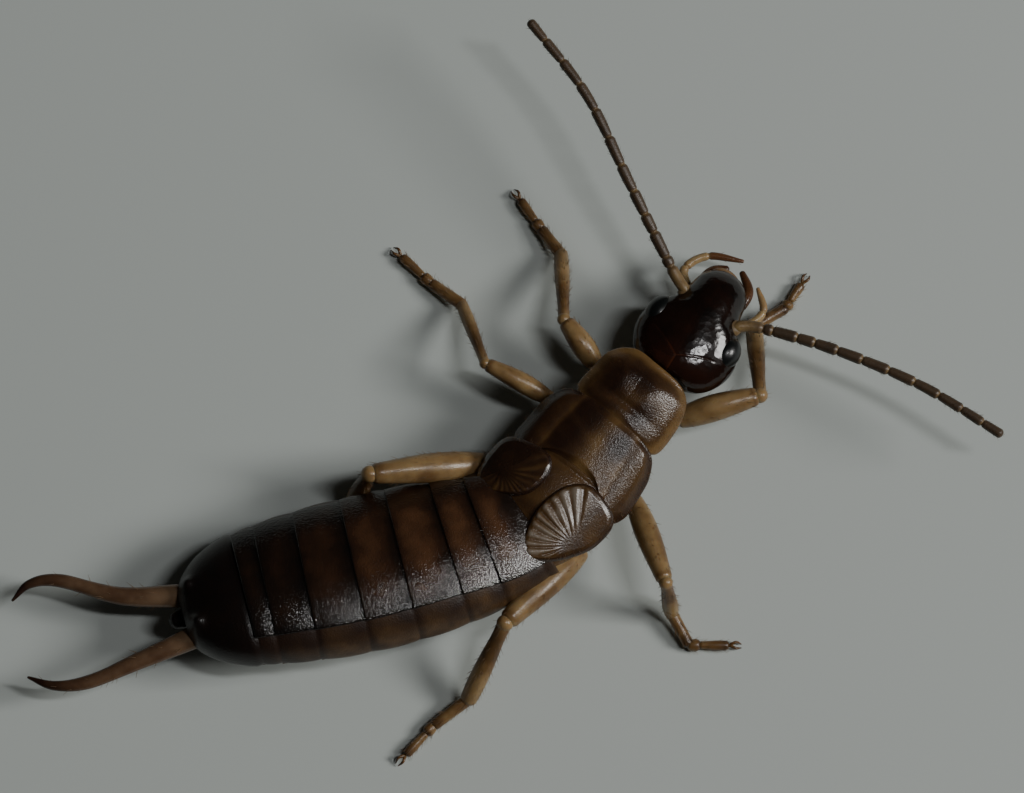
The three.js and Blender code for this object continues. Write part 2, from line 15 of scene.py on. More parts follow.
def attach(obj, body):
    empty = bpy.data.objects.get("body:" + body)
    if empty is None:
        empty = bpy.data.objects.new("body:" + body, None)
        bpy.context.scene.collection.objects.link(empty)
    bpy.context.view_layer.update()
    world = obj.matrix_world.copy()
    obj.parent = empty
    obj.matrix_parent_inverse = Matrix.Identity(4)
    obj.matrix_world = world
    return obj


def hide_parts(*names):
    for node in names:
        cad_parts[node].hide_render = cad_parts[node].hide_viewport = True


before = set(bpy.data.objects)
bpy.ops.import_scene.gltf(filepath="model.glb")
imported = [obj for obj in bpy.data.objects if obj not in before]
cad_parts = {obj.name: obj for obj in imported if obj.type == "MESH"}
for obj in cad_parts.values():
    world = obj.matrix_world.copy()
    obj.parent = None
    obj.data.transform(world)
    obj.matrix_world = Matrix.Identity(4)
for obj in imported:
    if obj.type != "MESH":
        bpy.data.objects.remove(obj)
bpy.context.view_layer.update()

print("solids loaded:", len(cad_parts))

# %% [markdown]
# ## The line of the body
# An insect is easiest to place along one line that runs from its tail to its neck. The same points as in the
# solids make a smooth curve, and a place on the body is then a distance along it, a distance to the left
# and a rise above it. The abdomen is rolled a little, so that its right flank shows from above.

# %% Sizes shared with the solids
MM = 0.001
FLOOR_SHIFT = np.array([1.41, 0.26, 0.0])
SPINE_LINE = np.array([
    [-6.75, -0.3, 0.98],
    [-5.5, -0.68, 1.0],
    [-3.7, -1.33, 1.04],
    [-2.2, -1.8, 1.08],
    [-1.05, -2.0, 1.14],
    [-0.1, -1.8, 1.2],
    [0.8, -1.47, 1.24],
    [1.6, -1.2, 1.27],
    [2.2, -0.96, 1.26],
])
ABDOMEN_ROLL = math.radians(16)
ROLL_ENDS = (4.2, 6.6)
TERGITE_EDGES = [1.08, 1.45, 2.14, 2.99, 3.8, 4.63, 5.27, 5.9]
SIDES = {"left": 1, "right": -1}
print("plates along the abdomen:", len(TERGITE_EDGES) - 1)

# %% Curves and places
TINY = 1e-12
DOTS_PER_SPAN = 40


def unit(vectors):
    return vectors / np.maximum(np.linalg.norm(vectors, axis=-1, keepdims=True), TINY)


def smooth_line(points):
    """A curve through all the points. Each span is bent by the points at its ends and their neighbours."""
    points = np.asarray(points, float)
    before = 2 * points[0] - points[1]
    after = 2 * points[-1] - points[-2]
    padded = np.vstack([before, points, after])
    share = np.linspace(0, 1, DOTS_PER_SPAN, endpoint=False)[:, None]
    spans = []
    for a, b, c, d in zip(padded, padded[1:], padded[2:], padded[3:]):
        bend = (2 * a - 5 * b + 4 * c - d) * share**2 + (3 * b - a - 3 * c + d) * share**3
        spans.append(0.5 * (2 * b + (c - a) * share + bend))
    return np.vstack(spans + [points[-1:]])


class Line:
    """A smooth curve that is read by the distance along it."""

    def __init__(self, points):
        self.dots = smooth_line(points)
        steps = np.linalg.norm(np.diff(self.dots, axis=0), axis=1)
        self.marks = np.concatenate([[0], np.cumsum(steps)])
        self.length = self.marks[-1]
        self.slopes = unit(np.gradient(self.dots, self.marks, axis=0))

    def frame_at(self, along):
        along = np.atleast_1d(along)
        kept = np.clip(along, 0, self.length)
        centre = np.stack([np.interp(kept, self.marks, column) for column in self.dots.T], -1)
        forward = unit(np.stack([np.interp(kept, self.marks, column) for column in self.slopes.T], -1))
        centre = centre + forward * (along - kept)[:, None]
        left = unit(np.cross([0.0, 0.0, 1.0], forward))
        return centre, forward, left, np.cross(forward, left)


def smooth_step(value, low, high):
    share = np.clip((value - low) / (high - low), 0, 1)
    return share * share * (3 - 2 * share)


def hump(value, centre, width):
    return np.exp(-(((value - centre) / width) ** 2))


def patch(along, side, at, off, long, wide, strength):
    """A soft patch, strongest at one place, with a length and a width."""
    return strength * hump(along, at, long) * hump(side, off, wide)


def round_edge(gap, radius):
    """Grows from 0 at an edge to 1 at one radius from it, as a quarter of a circle does."""
    return np.sqrt(1 - np.clip(1 - gap / radius, 0, 1) ** 2)


def share_between(value, marks):
    """How far a value is on its way from the mark before it to the mark after it, from 0 to 1."""
    row = np.clip(np.searchsorted(marks, value, side="right"), 1, len(marks) - 1)
    return np.clip((value - marks[row - 1]) / (marks[row] - marks[row - 1]), 0, 1)


def full_turn(count):
    return np.linspace(0, 2 * math.pi, count, endpoint=False)


def skin_grid(along, sides):
    """The places along a closed skin, each with a full turn of angles."""
    return np.broadcast_arrays(np.asarray(along)[:, None], full_turn(sides)[None])


SPINE = Line(SPINE_LINE)


def body_frame(along):
    centre, forward, left, up = SPINE.frame_at(along)
    roll = (ABDOMEN_ROLL * (1 - smooth_step(np.atleast_1d(along), *ROLL_ENDS)))[:, None]
    turned_left = left * np.cos(roll) - up * np.sin(roll)
    turned_up = up * np.cos(roll) + left * np.sin(roll)
    return centre, forward, turned_left, turned_up


def on_body(along, side, rise):
    along, side, rise = np.broadcast_arrays(along, side, rise)
    centre, _, left, up = body_frame(along.ravel())
    places = centre + left * side.ravel()[:, None] + up * rise.ravel()[:, None]
    return places.reshape(along.shape + (3,))


def read_table(table, at):
    """Each column of a table at the given values of its first column, with smooth slopes."""
    line = smooth_line(table)
    return [np.interp(at, line[:, 0], line[:, i]) for i in range(1, line.shape[1])]


print("body line, mm:", round(SPINE.length, 2))

# %% [markdown]
# ## From rows of points to a mesh
# Nearly every part of an insect is a bent tube or a curved plate. Both are a grid of points, so one helper
# turns rows of points into faces and closes the grid with a pole at each end. Numbers that the materials
# read, such as how dark the horn is, are stored on the points. So is the way from root to tip, for the
# bristles that grow later, and a place on an unwrapped sheet.

# %% Grids and pieces
def lofted(rows, **marks):
    """A closed skin from rows of points, with the marks that materials and bristles read."""
    rows = np.asarray(rows)
    count, width = rows.shape[:2]
    lie = unit(np.gradient(rows, axis=0))
    marks = {"dark": 0.0, "hairy": 0.0} | marks
    marks |= {f"lie_{axis}": lie[..., number] for number, axis in enumerate("xyz")}
    marks["flat_u"] = np.linspace(0, 1, width)[None, :]
    marks["flat_v"] = np.linspace(0, 1, count)[:, None]
    stored = {key: np.broadcast_to(value, (count, width)).ravel() for key, value in marks.items()}
    verts = rows.reshape(-1, 3)
    index = np.arange(count * width).reshape(count, width)
    across = np.roll(index, -1, axis=1)
    faces = np.stack([index[:-1], across[:-1], across[1:], index[1:]], -1).reshape(-1, 4).tolist()
    for row, forward in ((0, False), (count - 1, True)):
        ring = index[row]
        pole = len(verts)
        verts = np.vstack([verts, rows[row].mean(axis=0)])
        stored = {key: np.append(value, value[ring].mean()) for key, value in stored.items()}
        pairs = zip(ring, np.roll(ring, -1))
        faces += [[pole, a, b] if forward else [pole, b, a] for a, b in pairs]
    return verts, faces, stored


def joined(forms):
    verts = np.vstack([form[0] for form in forms])
    faces = []
    start = 0
    for form_verts, form_faces, _ in forms:
        faces += [[corner + start for corner in face] for face in form_faces]
        start += len(form_verts)
    keys = dict.fromkeys(key for form in forms for key in form[2])
    marks = {
        key: np.concatenate([form[2].get(key, np.zeros(len(form[0]))) for form in forms]) for key in keys
    }
    return verts, faces, marks


def in_frame(points):
    return (np.asarray(points) + FLOOR_SHIFT) * MM


def signed_volume(verts, faces):
    corners = np.array([[face[0], face[i], face[i + 1]] for face in faces for i in range(1, len(face) - 1)])
    a, b, c = (verts[corners[:, i]] for i in range(3))
    return np.einsum("ij,ij->i", a, np.cross(b, c)).sum() / 6


def outward(form):
    verts, faces, marks = form
    if signed_volume(verts - verts.mean(axis=0), faces) < 0:
        faces = [face[::-1] for face in faces]
    return verts, faces, marks


def mesh_of(name, forms):
    verts, faces, marks = joined([outward(form) for form in forms])
    mesh = bpy.data.meshes.new(name)
    mesh.from_pydata(in_frame(verts).tolist(), [], faces)
    mesh.polygons.foreach_set("use_smooth", [True] * len(mesh.polygons))
    for key, values in marks.items():
        layer = mesh.attributes.new(key, "FLOAT", "POINT")
        layer.data.foreach_set("value", np.asarray(values, np.float32))
    return mesh


def into_scene(name, data):
    made = bpy.data.objects.new(name, data)
    bpy.context.scene.collection.objects.link(made)
    return made


PIECES = {}


def register(piece, nodes=()):
    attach(piece, "root")
    if nodes:
        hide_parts(*nodes)
    PIECES[piece.name] = piece
    print(f"{piece.name}: {len(piece.data.polygons)} faces")


def add_piece(name, forms, material, nodes=()):
    mesh = mesh_of(name, forms)
    mesh.materials.append(material)
    register(into_scene(name, mesh), nodes)


# %% Tubes
ROUND_STEPS = np.array([0.02, 0.1, 0.25, 0.45, 0.7, 1.0])
END_LENGTH = 0.8
BALL_ROWS = 24
BALL_SIDES = 40
POLE_GAP = 0.03


def limb(points, radius_at, dark=0.0, hairy=0.0, sides=28, steps=40, flat=1.0):
    """A tube with round ends. A mark is a number, or a function of the share of its length and the angle."""
    line = points if isinstance(points, Line) else Line(points)
    tip = line.length
    first, last = (END_LENGTH * radius_at(np.array([share]))[0] for share in (0.0, 1.0))
    along = np.concatenate([
        first * ROUND_STEPS,
        np.linspace(first, tip - last, steps + 1)[1:-1],
        tip - last * ROUND_STEPS[::-1],
    ])
    radius = radius_at(along / tip) * (round_edge(along, first) * round_edge(tip - along, last))
    centre, _, left, up = line.frame_at(along)
    angle = full_turn(sides)
    ring = np.cos(angle)[None, :, None] * left[:, None] + flat * np.sin(angle)[None, :, None] * up[:, None]
    rows = centre[:, None] + ring * radius[:, None, None]
    share = (along / tip)[:, None]
    marks = {"dark": dark, "hairy": hairy}
    marks = {key: mark(share, angle[None]) if callable(mark) else mark for key, mark in marks.items()}
    return lofted(rows, **marks)


def profile(*sizes):
    """A radius that passes smoothly through evenly spaced sizes."""
    table = np.column_stack([np.linspace(0, 1, len(sizes)), sizes])
    return lambda share: read_table(table, np.asarray(share))[0]


def ball(place, reach, turn=np.eye(3), dark=0.0):
    low = np.linspace(POLE_GAP, math.pi - POLE_GAP, BALL_ROWS)[:, None]
    angle = full_turn(BALL_SIDES)[None]
    shape = np.stack([
        reach[0] * np.sin(low) * np.cos(angle),
        reach[1] * np.sin(low) * np.sin(angle),
        reach[2] * np.cos(low) + 0 * angle,
    ], -1)
    return lofted(shape @ turn.T + place, dark=dark)


print("faces of a plain tube:", len(limb([[0, 0, 0], [1, 0, 0]], profile(0.1, 0.1))[1]))

# %% Plates
EDGE_STEPS = np.array([0, 0.04, 0.12, 0.28, 0.55])
EDGE_CROWD = 0.06
FIRST_RING = 0.03
RIM_CROWDING = 1.6
UNDER_STEP = 4
RIM_HAIR = {"gap": 0.03, "width": 0.05, "from_side": 0.6}


def shell_form(places, thickness, dark):
    """A closed plate with round edges from a grid of places on its outer face."""
    rows, columns = places.shape[:2]
    normal = unit(np.cross(np.gradient(places, axis=0), np.gradient(places, axis=1)))
    lengths = []
    for axis in (0, 1):
        step = np.linalg.norm(np.diff(places, axis=axis), axis=-1)
        start = np.concatenate([np.zeros_like(np.take(step, [0], axis)), np.cumsum(step, axis)], axis)
        lengths.append(np.minimum(start, np.take(start, [-1], axis) - start))
    swell = round_edge(np.minimum(*lengths), thickness / 2)[..., None]
    middle = places - normal * thickness / 2
    outer = middle + normal * thickness / 2 * swell
    inner = middle - normal * thickness / 2 * swell
    verts = np.vstack([outer.reshape(-1, 3), inner.reshape(-1, 3)])
    index = np.arange(rows * columns).reshape(rows, columns)
    quad = np.stack([index[:-1, :-1], index[:-1, 1:], index[1:, 1:], index[1:, :-1]], -1).reshape(-1, 4)
    faces = quad.tolist() + (quad[:, ::-1] + rows * columns).tolist()
    border = np.concatenate([index[0], index[1:, -1], index[-1, -2::-1], index[-2:0:-1, 0]])
    partner = border + rows * columns
    faces += np.stack([np.roll(border, -1), border, partner, np.roll(partner, -1)], -1).tolist()
    marks = {"dark": np.tile(np.broadcast_to(dark, (rows, columns)).ravel(), 2)}
    return verts, faces, marks


def close_at_ends(count, crowd=EDGE_CROWD):
    """Shares from 0 to 1 that crowd together near both ends."""
    start = crowd * EDGE_STEPS
    return np.concatenate([start, np.linspace(crowd, 1 - crowd, count), 1 - start[::-1]])


def plate_form(outline, turn, rise_at, thickness, dark_at, middle, rings, count):
    """A plate with a free outline on the left side, or on the right when turn is -1.

    Rings of points run from its middle out to its rim, and back in on its underside.
    """
    closed = np.array([[along, side * turn, 0] for along, side in outline])
    wrapped = np.vstack([closed[-1:], closed, closed[:2]])
    line = Line(wrapped)
    span = np.linspace(line.marks[DOTS_PER_SPAN], line.marks[-1 - DOTS_PER_SPAN], count, endpoint=False)
    rim = line.frame_at(span)[0][:, :2]
    middle = np.array([middle[0], middle[1] * turn])
    share = 1 - (1 - np.linspace(FIRST_RING, 1, rings)) ** RIM_CROWDING
    place = middle + share[:, None, None] * (rim - middle)[None]
    along, side = place[..., 0], place[..., 1]
    rim_gap = (1 - share[:, None]) * np.linalg.norm(rim - middle, axis=1)[None]
    swell = thickness / 2 * round_edge(rim_gap, thickness / 2)
    core = rise_at(along, side * turn, rim_gap) - thickness / 2
    kept = np.arange(rings - 2, -1, -UNDER_STEP)
    rows = np.concatenate([on_body(along, side, core + swell), on_body(along, side, core - swell)[kept]])
    dark = dark_at(along, side * turn, rim_gap)
    hairy = hump(rim_gap, RIM_HAIR["gap"], RIM_HAIR["width"]) * (np.abs(side) > RIM_HAIR["from_side"])
    return lofted(
        rows,
        dark=np.concatenate([dark, dark[kept]]),
        hairy=np.concatenate([hairy, 0 * hairy[kept]]),
    )


def mirrored(half):
    """A whole outline from its left half, which starts and ends on the middle line."""
    return half + [[along, -side] for along, side in half[-2:0:-1]]


print("steps across a plate:", len(close_at_ends(10)))


# %% [markdown]
# ## Horn, skin and membrane
# Insect horn is a clear amber lacquer over pigment, so one recipe serves every hard part: tones mixed by
# a stored darkness, a cloudy variation, a very fine grain as bump and a little light passing through.
# Only the colours, gloss and grain differ from part to part. The grain is some hundredths of a millimetre,
# as on the real plates, and it breaks the highlights into the silvery sheen that earwigs show.

# %% A recipe for horn
MICRON = 1e-6
CLOUD_MM = 0.3
CLOUD_RANGE = {"From Min": 0.25, "From Max": 0.75}
GLOSS_RANGE = (0.75, 1.25)
GRAIN_TO_PITS = 0.6
GLOW_MM = 0.12
GLOW_COLOURS = (1.0, 0.45, 0.2)
COAT_ROUGHNESS = 0.2


def new_material(name):
    material = bpy.data.materials.new(name)
    material.use_nodes = True
    tree = material.node_tree
    return material, tree, tree.nodes["Principled BSDF"]


def fill_inputs(tree, node, inputs):
    """Links each input that is given as a socket, and sets each one that is given as a value."""
    for key, value in inputs.items():
        if isinstance(value, bpy.types.NodeSocket):
            tree.links.new(value, node.inputs[key])
        else:
            node.inputs[key].default_value = value


def add_node(tree, kind, inputs=None, **settings):
    node = tree.nodes.new(kind)
    for key, value in settings.items():
        setattr(node, key, value)
    fill_inputs(tree, node, inputs or {})
    return node


def cuticle(
    name, tones, rough=0.3, cloud=0.18, grain_mm=0.03, grain_um=1.5, glow=0.1, coat=0.0, shine=0.45
):
    """Horn in tones from pale to dark, with clouds, a fine grain and some light passing through."""
    material, tree, shader = new_material(name)
    place = add_node(tree, "ShaderNodeTexCoord").outputs["Object"]
    darkness = add_node(tree, "ShaderNodeAttribute", attribute_name="dark").outputs["Fac"]
    cloud_inputs = {"Vector": place, "Scale": 1 / (CLOUD_MM * MM), "Detail": 5.0}
    clouds = add_node(tree, "ShaderNodeTexNoise", cloud_inputs).outputs["Fac"]
    shift_inputs = CLOUD_RANGE | {"Value": clouds, "To Min": -cloud, "To Max": cloud}
    shift = add_node(tree, "ShaderNodeMapRange", shift_inputs).outputs["Result"]
    total = add_node(tree, "ShaderNodeMath", {0: darkness, 1: shift}, operation="ADD", use_clamp=True)
    ramp = add_node(tree, "ShaderNodeValToRGB", {"Fac": total.outputs["Value"]})
    steps = ramp.color_ramp.elements
    while len(steps) < len(tones):
        steps.new(0.5)
    for step, where, tone in zip(steps, np.linspace(0, 1, len(tones)), tones):
        step.position = where
        step.color = (*tone, 1)
    pit_inputs = {"Vector": place, "Scale": 1 / (grain_mm * MM)}
    pits = add_node(tree, "ShaderNodeTexVoronoi", pit_inputs).outputs["Distance"]
    grain_inputs = {"Vector": place, "Scale": GRAIN_TO_PITS / (grain_mm * MM), "Detail": 3.0}
    grain = add_node(tree, "ShaderNodeTexNoise", grain_inputs).outputs["Fac"]
    height = add_node(tree, "ShaderNodeMath", {0: pits, 1: grain}, operation="ADD").outputs["Value"]
    bump_inputs = {"Height": height, "Distance": grain_um * MICRON, "Strength": 1.0}
    bump = add_node(tree, "ShaderNodeBump", bump_inputs)
    gloss_inputs = {"Value": clouds, "To Min": rough * GLOSS_RANGE[0], "To Max": rough * GLOSS_RANGE[1]}
    gloss = add_node(tree, "ShaderNodeMapRange", gloss_inputs)
    fill_inputs(tree, shader, {
        "Base Color": ramp.outputs["Color"],
        "Normal": bump.outputs["Normal"],
        "Roughness": gloss.outputs["Result"],
        "Subsurface Weight": glow,
        "Subsurface Radius": GLOW_COLOURS,
        "Subsurface Scale": GLOW_MM * MM,
        "Specular IOR Level": shine,
        "Coat Weight": coat,
        "Coat Roughness": COAT_ROUGHNESS,
    })
    return material


# %% Horn in twelve finishes
PALE_AMBER = (0.33, 0.22, 0.1)
AMBER = (0.17, 0.098, 0.036)
HONEY = (0.088, 0.046, 0.016)
CHESTNUT = (0.042, 0.02, 0.009)
UMBER = (0.02, 0.009, 0.005)
PITCH = (0.005, 0.003, 0.0025)

looks = {
    "head": cuticle(
        "head_horn", [(0.07, 0.02, 0.008), (0.02, 0.007, 0.004), PITCH],
        rough=0.16, grain_mm=0.1, grain_um=3.4, shine=0.5,
    ),
    "shield": cuticle(
        "shield_horn", [AMBER, HONEY, CHESTNUT, UMBER],
        rough=0.24, grain_mm=0.024, grain_um=3.2, glow=0.2, shine=0.5,
    ),
    # The palest pad tone, a brownish grey, is painted sheen for the fans of the hind pads.
    "pad": cuticle(
        "pad_horn", [(0.2, 0.16, 0.12), HONEY, CHESTNUT, UMBER],
        rough=0.26, grain_um=2.6, glow=0.2, coat=0.5,
    ),
    "tergite": cuticle(
        "tergite_horn", [(0.09, 0.04, 0.018), (0.037, 0.016, 0.008), (0.014, 0.007, 0.004), PITCH],
        rough=0.18, grain_mm=0.026, grain_um=5.4, glow=0.05, shine=0.9,
    ),
    "flank": cuticle(
        "flank_skin", [(0.13, 0.072, 0.03), (0.05, 0.026, 0.012), UMBER],
        rough=0.42, cloud=0.26, grain_um=3.0,
    ),
    "tail": cuticle(
        "tail_horn", [CHESTNUT, (0.014, 0.007, 0.005), PITCH],
        rough=0.34, grain_um=3.0, glow=0.02,
    ),
    "forceps": cuticle(
        "forceps_horn", [(0.19, 0.12, 0.07), (0.085, 0.045, 0.025), (0.02, 0.009, 0.006)],
        rough=0.22,
    ),
    "leg": cuticle(
        "leg_horn", [PALE_AMBER, (0.15, 0.083, 0.032), (0.045, 0.024, 0.013)],
        cloud=0.24, glow=0.4,
    ),
    "feeler": cuticle(
        "feeler_horn", [(0.23, 0.15, 0.062), (0.1, 0.064, 0.037), (0.045, 0.03, 0.019)],
        rough=0.4,
    ),
    "mouth": cuticle(
        "mouth_horn", [(0.36, 0.25, 0.12), (0.13, 0.055, 0.022), (0.025, 0.009, 0.005)],
        rough=0.25, glow=0.3,
    ),
    "neck": cuticle("neck_skin", [AMBER, HONEY], rough=0.45, glow=0.3),
    "hair": cuticle("hair_horn", [(0.22, 0.14, 0.07), (0.12, 0.07, 0.035)], rough=0.4, glow=0.0),
}
print("horn recipes:", len(looks))

# %% [markdown]
# ## The abdomen
# An earwig's abdomen is a row of overlapping plates, each raised at its rear edge and tucked under the
# plate in front. One tube could carry them as painted bands, but then the light wouldn't break at the
# edges. So each back plate and each belly plate is a closed shell of its own, and a soft skin fills the
# flanks between them.

# %% Abdomen sizes
# Each row: distance along the body, half width, height above the line and depth below it.
ABDOMEN_SIZES = [
    [-0.02, 0.44, 0.34, 0.34],
    [0.14, 0.72, 0.46, 0.42],
    [0.5, 1.02, 0.6, 0.5],
    [1.08, 1.25, 0.72, 0.54],
    [2.1, 1.41, 0.82, 0.58],
    [3.2, 1.47, 0.86, 0.58],
    [4.3, 1.42, 0.84, 0.57],
    [5.3, 1.26, 0.74, 0.55],
    [6.1, 1.1, 0.6, 0.54],
]
FULLNESS = 0.86


def around(sizes, angle, lift):
    """A rounded section: how far out and how high the skin is at an angle round the line."""
    half, top, bottom = sizes
    wide = np.sign(np.cos(angle)) * np.abs(np.cos(angle)) ** FULLNESS
    high = np.sign(np.sin(angle)) * np.abs(np.sin(angle)) ** FULLNESS
    height = np.where(high > 0, top, bottom)
    return (half + lift) * wide, (height + lift) * high


def abdomen_place(along, angle, lift):
    side, rise = around(read_table(ABDOMEN_SIZES, along), angle, lift)
    return on_body(along, side, rise)


print("widest half of the abdomen, mm:", max(row[1] for row in ABDOMEN_SIZES))

# %% Back and belly plates
BACK_START = math.radians(41)
BACK_ARC = math.pi - 2 * BACK_START
BELLY_START = math.radians(214)
BELLY_ARC = 3 * math.pi - 2 * BELLY_START
PLATE_THICKNESS = 0.034
TUCK = 0.16
EDGE_RAISE = 0.018
FRONT_SINK = 0.018
CROWN = 0.012
BELLY_RAISE = 0.012
BELLY_SLOPE = 0.045
# The warm band of a plate: its place and width in the plate's length, and where it fades to each side.
WARM_BAND = (0.4, 0.36)
WARM_FADE = {"from": 0.3, "left": 0.7, "right": 1.0}
REAR_LINE = (0.0, 0.14)
FRONT_BAND = (0.7, 1.0)
SIDE_BAND = (0.8, 1)


def plate_grid(rear, front, start, arc, rows, columns, crowd=EDGE_CROWD):
    """Places on a plate along and round the body, and the share of the way to its front edge."""
    along = rear + (front + TUCK - rear) * close_at_ends(rows)[:, None]
    angle = start + arc * close_at_ends(columns, crowd)[None]
    angle, along = np.broadcast_arrays(angle, along)
    return along, angle, (along - rear) / (front - rear)


def back_plate(rear, front, darker):
    along, angle, share = plate_grid(rear, front, BACK_START, BACK_ARC, rows=18, columns=70, crowd=0.03)
    lift = EDGE_RAISE - (EDGE_RAISE + FRONT_SINK) * share + CROWN * np.sin(math.pi * np.clip(share, 0, 1))
    outward_share = np.abs(angle - math.pi / 2) / (math.pi / 2 - BACK_START)
    fade_end = np.where(angle < math.pi / 2, WARM_FADE["left"], WARM_FADE["right"])
    warm = hump(share, *WARM_BAND) * (1 - smooth_step(outward_share, WARM_FADE["from"], fade_end))
    bands = smooth_step(share, *FRONT_BAND) + 0.5 * (1 - smooth_step(share, *REAR_LINE))
    dark = 0.55 + darker - 0.5 * warm * (1 - darker) + 0.2 * bands
    dark = dark + 0.2 * smooth_step(outward_share, *SIDE_BAND)
    return shell_form(abdomen_place(along, angle, lift), PLATE_THICKNESS, np.clip(dark, 0, 1))


def belly_plate(rear, front):
    along, angle, share = plate_grid(rear, front, BELLY_START, BELLY_ARC, rows=10, columns=30)
    places = abdomen_place(along, angle, BELLY_RAISE - BELLY_SLOPE * share)
    return shell_form(places, PLATE_THICKNESS, 0.25 + 0.3 * smooth_step(share, 0.6, 1))


edges = list(zip(TERGITE_EDGES[:-1], TERGITE_EDGES[1:]))
tail_dark = [0.42, 0.36, 0.22, 0.08, 0.0, 0.0, 0.02]
back_plates = [back_plate(rear, front, darker) for (rear, front), darker in zip(edges, tail_dark)]
belly_plates = [belly_plate(rear, front) for rear, front in edges]
add_piece("abdomen_back_plates", back_plates, looks["tergite"], ["abdomen"])
add_piece("abdomen_belly_plates", belly_plates, looks["flank"])

# %% Flank skin
FLANK_ENDS = (0.86, 6.02)
FLANK_MARKS = np.array([0.8] + TERGITE_EDGES + [6.6])
FLANK_SINK = 0.06
FLANK_SWELL = 0.03
FLANK_ROWS = 170
FLANK_SIDES = 140


def flank_skin():
    along, angle = skin_grid(np.linspace(*FLANK_ENDS, FLANK_ROWS), FLANK_SIDES)
    share = share_between(along, FLANK_MARKS)
    lift = -FLANK_SINK + FLANK_SWELL * np.sin(math.pi * share) ** 0.6
    upper = smooth_step(np.sin(angle), 0.05, 0.62)
    blotch = smooth_step(share, 0.45, 0.9) * upper + 0.8 * (1 - smooth_step(share, 0.0, 0.2))
    tail_end = 1 - smooth_step(along, 1.0, 2.6)
    dark = 0.3 + 0.5 * blotch + 0.25 * upper + 0.7 * tail_end
    return lofted(abdomen_place(along, angle, lift), dark=np.clip(dark, 0, 1))


add_piece("abdomen_skin", [flank_skin()], looks["flank"])

# %% [markdown]
# ## Tail and pincers
# The last segment is a blunt black cap with two low knobs above the roots of the pincers. The pincers of a
# nymph are slender and plain, curved in only at their dark tips. Both are tubes whose radius follows a
# short list of sizes.

# %% Last segment
TAIL_TIP = {"end": -0.02, "length": 0.16, "rows": 22}
TAIL_REST = (0.15, 1.24, 60)
TAIL_SIDES = 140
TAIL_TUCK = 0.06
TUBERCLE = {"along": 0.16, "side": 0.38, "width": 0.13, "height": 0.11}
STUB_LINE = on_body(np.array([0.2, -0.28]), 0.0, -0.05)


def last_segment():
    tip = TAIL_TIP["end"] + TAIL_TIP["length"] * np.linspace(0, 1, TAIL_TIP["rows"]) ** 2
    along, angle = skin_grid(np.concatenate([tip, np.linspace(*TAIL_REST)]), TAIL_SIDES)
    shrink = -TAIL_TUCK * smooth_step(along, 0.96, 1.2)
    side, rise = around(read_table(ABDOMEN_SIZES, along), angle, shrink)
    for turn in SIDES.values():
        apart = np.hypot(along - TUBERCLE["along"], side - turn * TUBERCLE["side"])
        rise = rise + TUBERCLE["height"] * hump(apart, 0, TUBERCLE["width"]) * (np.sin(angle) > 0.2)
    dark = 0.95 - 0.3 * smooth_step(along, 0.6, 1.2)
    return lofted(on_body(along, side, rise), dark=dark)


add_piece("tail_cap", [last_segment()], looks["tail"], ["last_segment"])
stub = limb(STUB_LINE, profile(0.2, 0.17, 0.12), dark=0.9)
add_piece("tail_stub", [stub], looks["tail"], ["pygidium"])

# %% Pincers
PINCER_LINES = {
    "left": [
        [-6.3, -0.1, 0.97],
        [-6.62, 0.06, 0.96],
        [-7.49, 0.6, 0.96],
        [-8.22, 1.37, 0.93],
        [-8.69, 1.6, 0.91],
        [-9.1, 1.51, 0.9],
    ],
    "right": [
        [-6.3, -0.76, 1.05],
        [-6.6, -0.72, 1.04],
        [-7.79, -0.54, 1.0],
        [-8.7, -0.39, 0.95],
        [-9.24, -0.13, 0.92],
        [-9.56, 0.25, 0.9],
    ],
}


# Darkness along a pincer: dark tips, and a paler base that is a painted highlight.
def pincer_dark(share, _):
    return 0.42 - 0.42 * hump(share, 0.1, 0.14) + 0.55 * smooth_step(share, 0.68, 0.95)


def pincer(side):
    radius = profile(0.17, 0.2, 0.19, 0.17, 0.155, 0.14, 0.125, 0.12, 0.1, 0.07, 0.02)
    return limb(PINCER_LINES[side], radius, pincer_dark, hairy=0.7, sides=36, steps=90, flat=0.85)


pincers = {side: pincer(side) for side in SIDES}
for side, form in pincers.items():
    add_piece(f"pincer_{side}", [form], looks["forceps"], [f"forceps_{side}"])

# %% [markdown]
# ## Thorax and wing pads
# Three segments carry the legs. The first has a shield with clear, thin rims. The second grows out into
# the pads of the fore wings, so its plate and pads are one. The hind pads show the folded wing as a fan
# of fine creases, so their surface is raised and lowered by a wave that turns round the fan's pivot.

# %% Thorax core
THORAX_SIZES = [
    [5.95, 0.98, 0.58, 0.58],
    [6.6, 1.0, 0.62, 0.6],
    [7.2, 0.98, 0.61, 0.6],
    [8.2, 0.86, 0.52, 0.58],
    [8.8, 0.8, 0.5, 0.54],
    [9.3, 0.62, 0.42, 0.42],
]
SEGMENT_ENDS = np.array([5.95, 7.16, 8.24, 9.25])
CORE_ENDS = (5.9, 9.22)
CORE_ROWS = 130
CORE_SIDES = 110
SEGMENT_SWELL = 0.05
# Each dark blotch: its place along and to the left, its length, its width and its strength.
BLOTCHES = [
    (8.84, 0.38, 0.34, 0.2, 1.0),
    (9.12, 0.05, 0.2, 0.4, 0.8),
    (8.6, -0.34, 0.22, 0.22, 0.6),
    (8.16, 0.32, 0.34, 0.32, 1.0),
    (7.58, 0.5, 0.4, 0.36, 1.0),
    (8.0, -0.45, 0.24, 0.26, 0.9),
    (7.1, 0.85, 0.36, 0.34, 0.8),
    (6.72, 0.6, 0.46, 0.42, 1.0),
    (6.9, -0.42, 0.2, 0.16, 0.5),
    (6.2, 0.62, 0.34, 0.3, 0.7),
    (6.2, 0.0, 0.2, 0.4, 0.5),
]


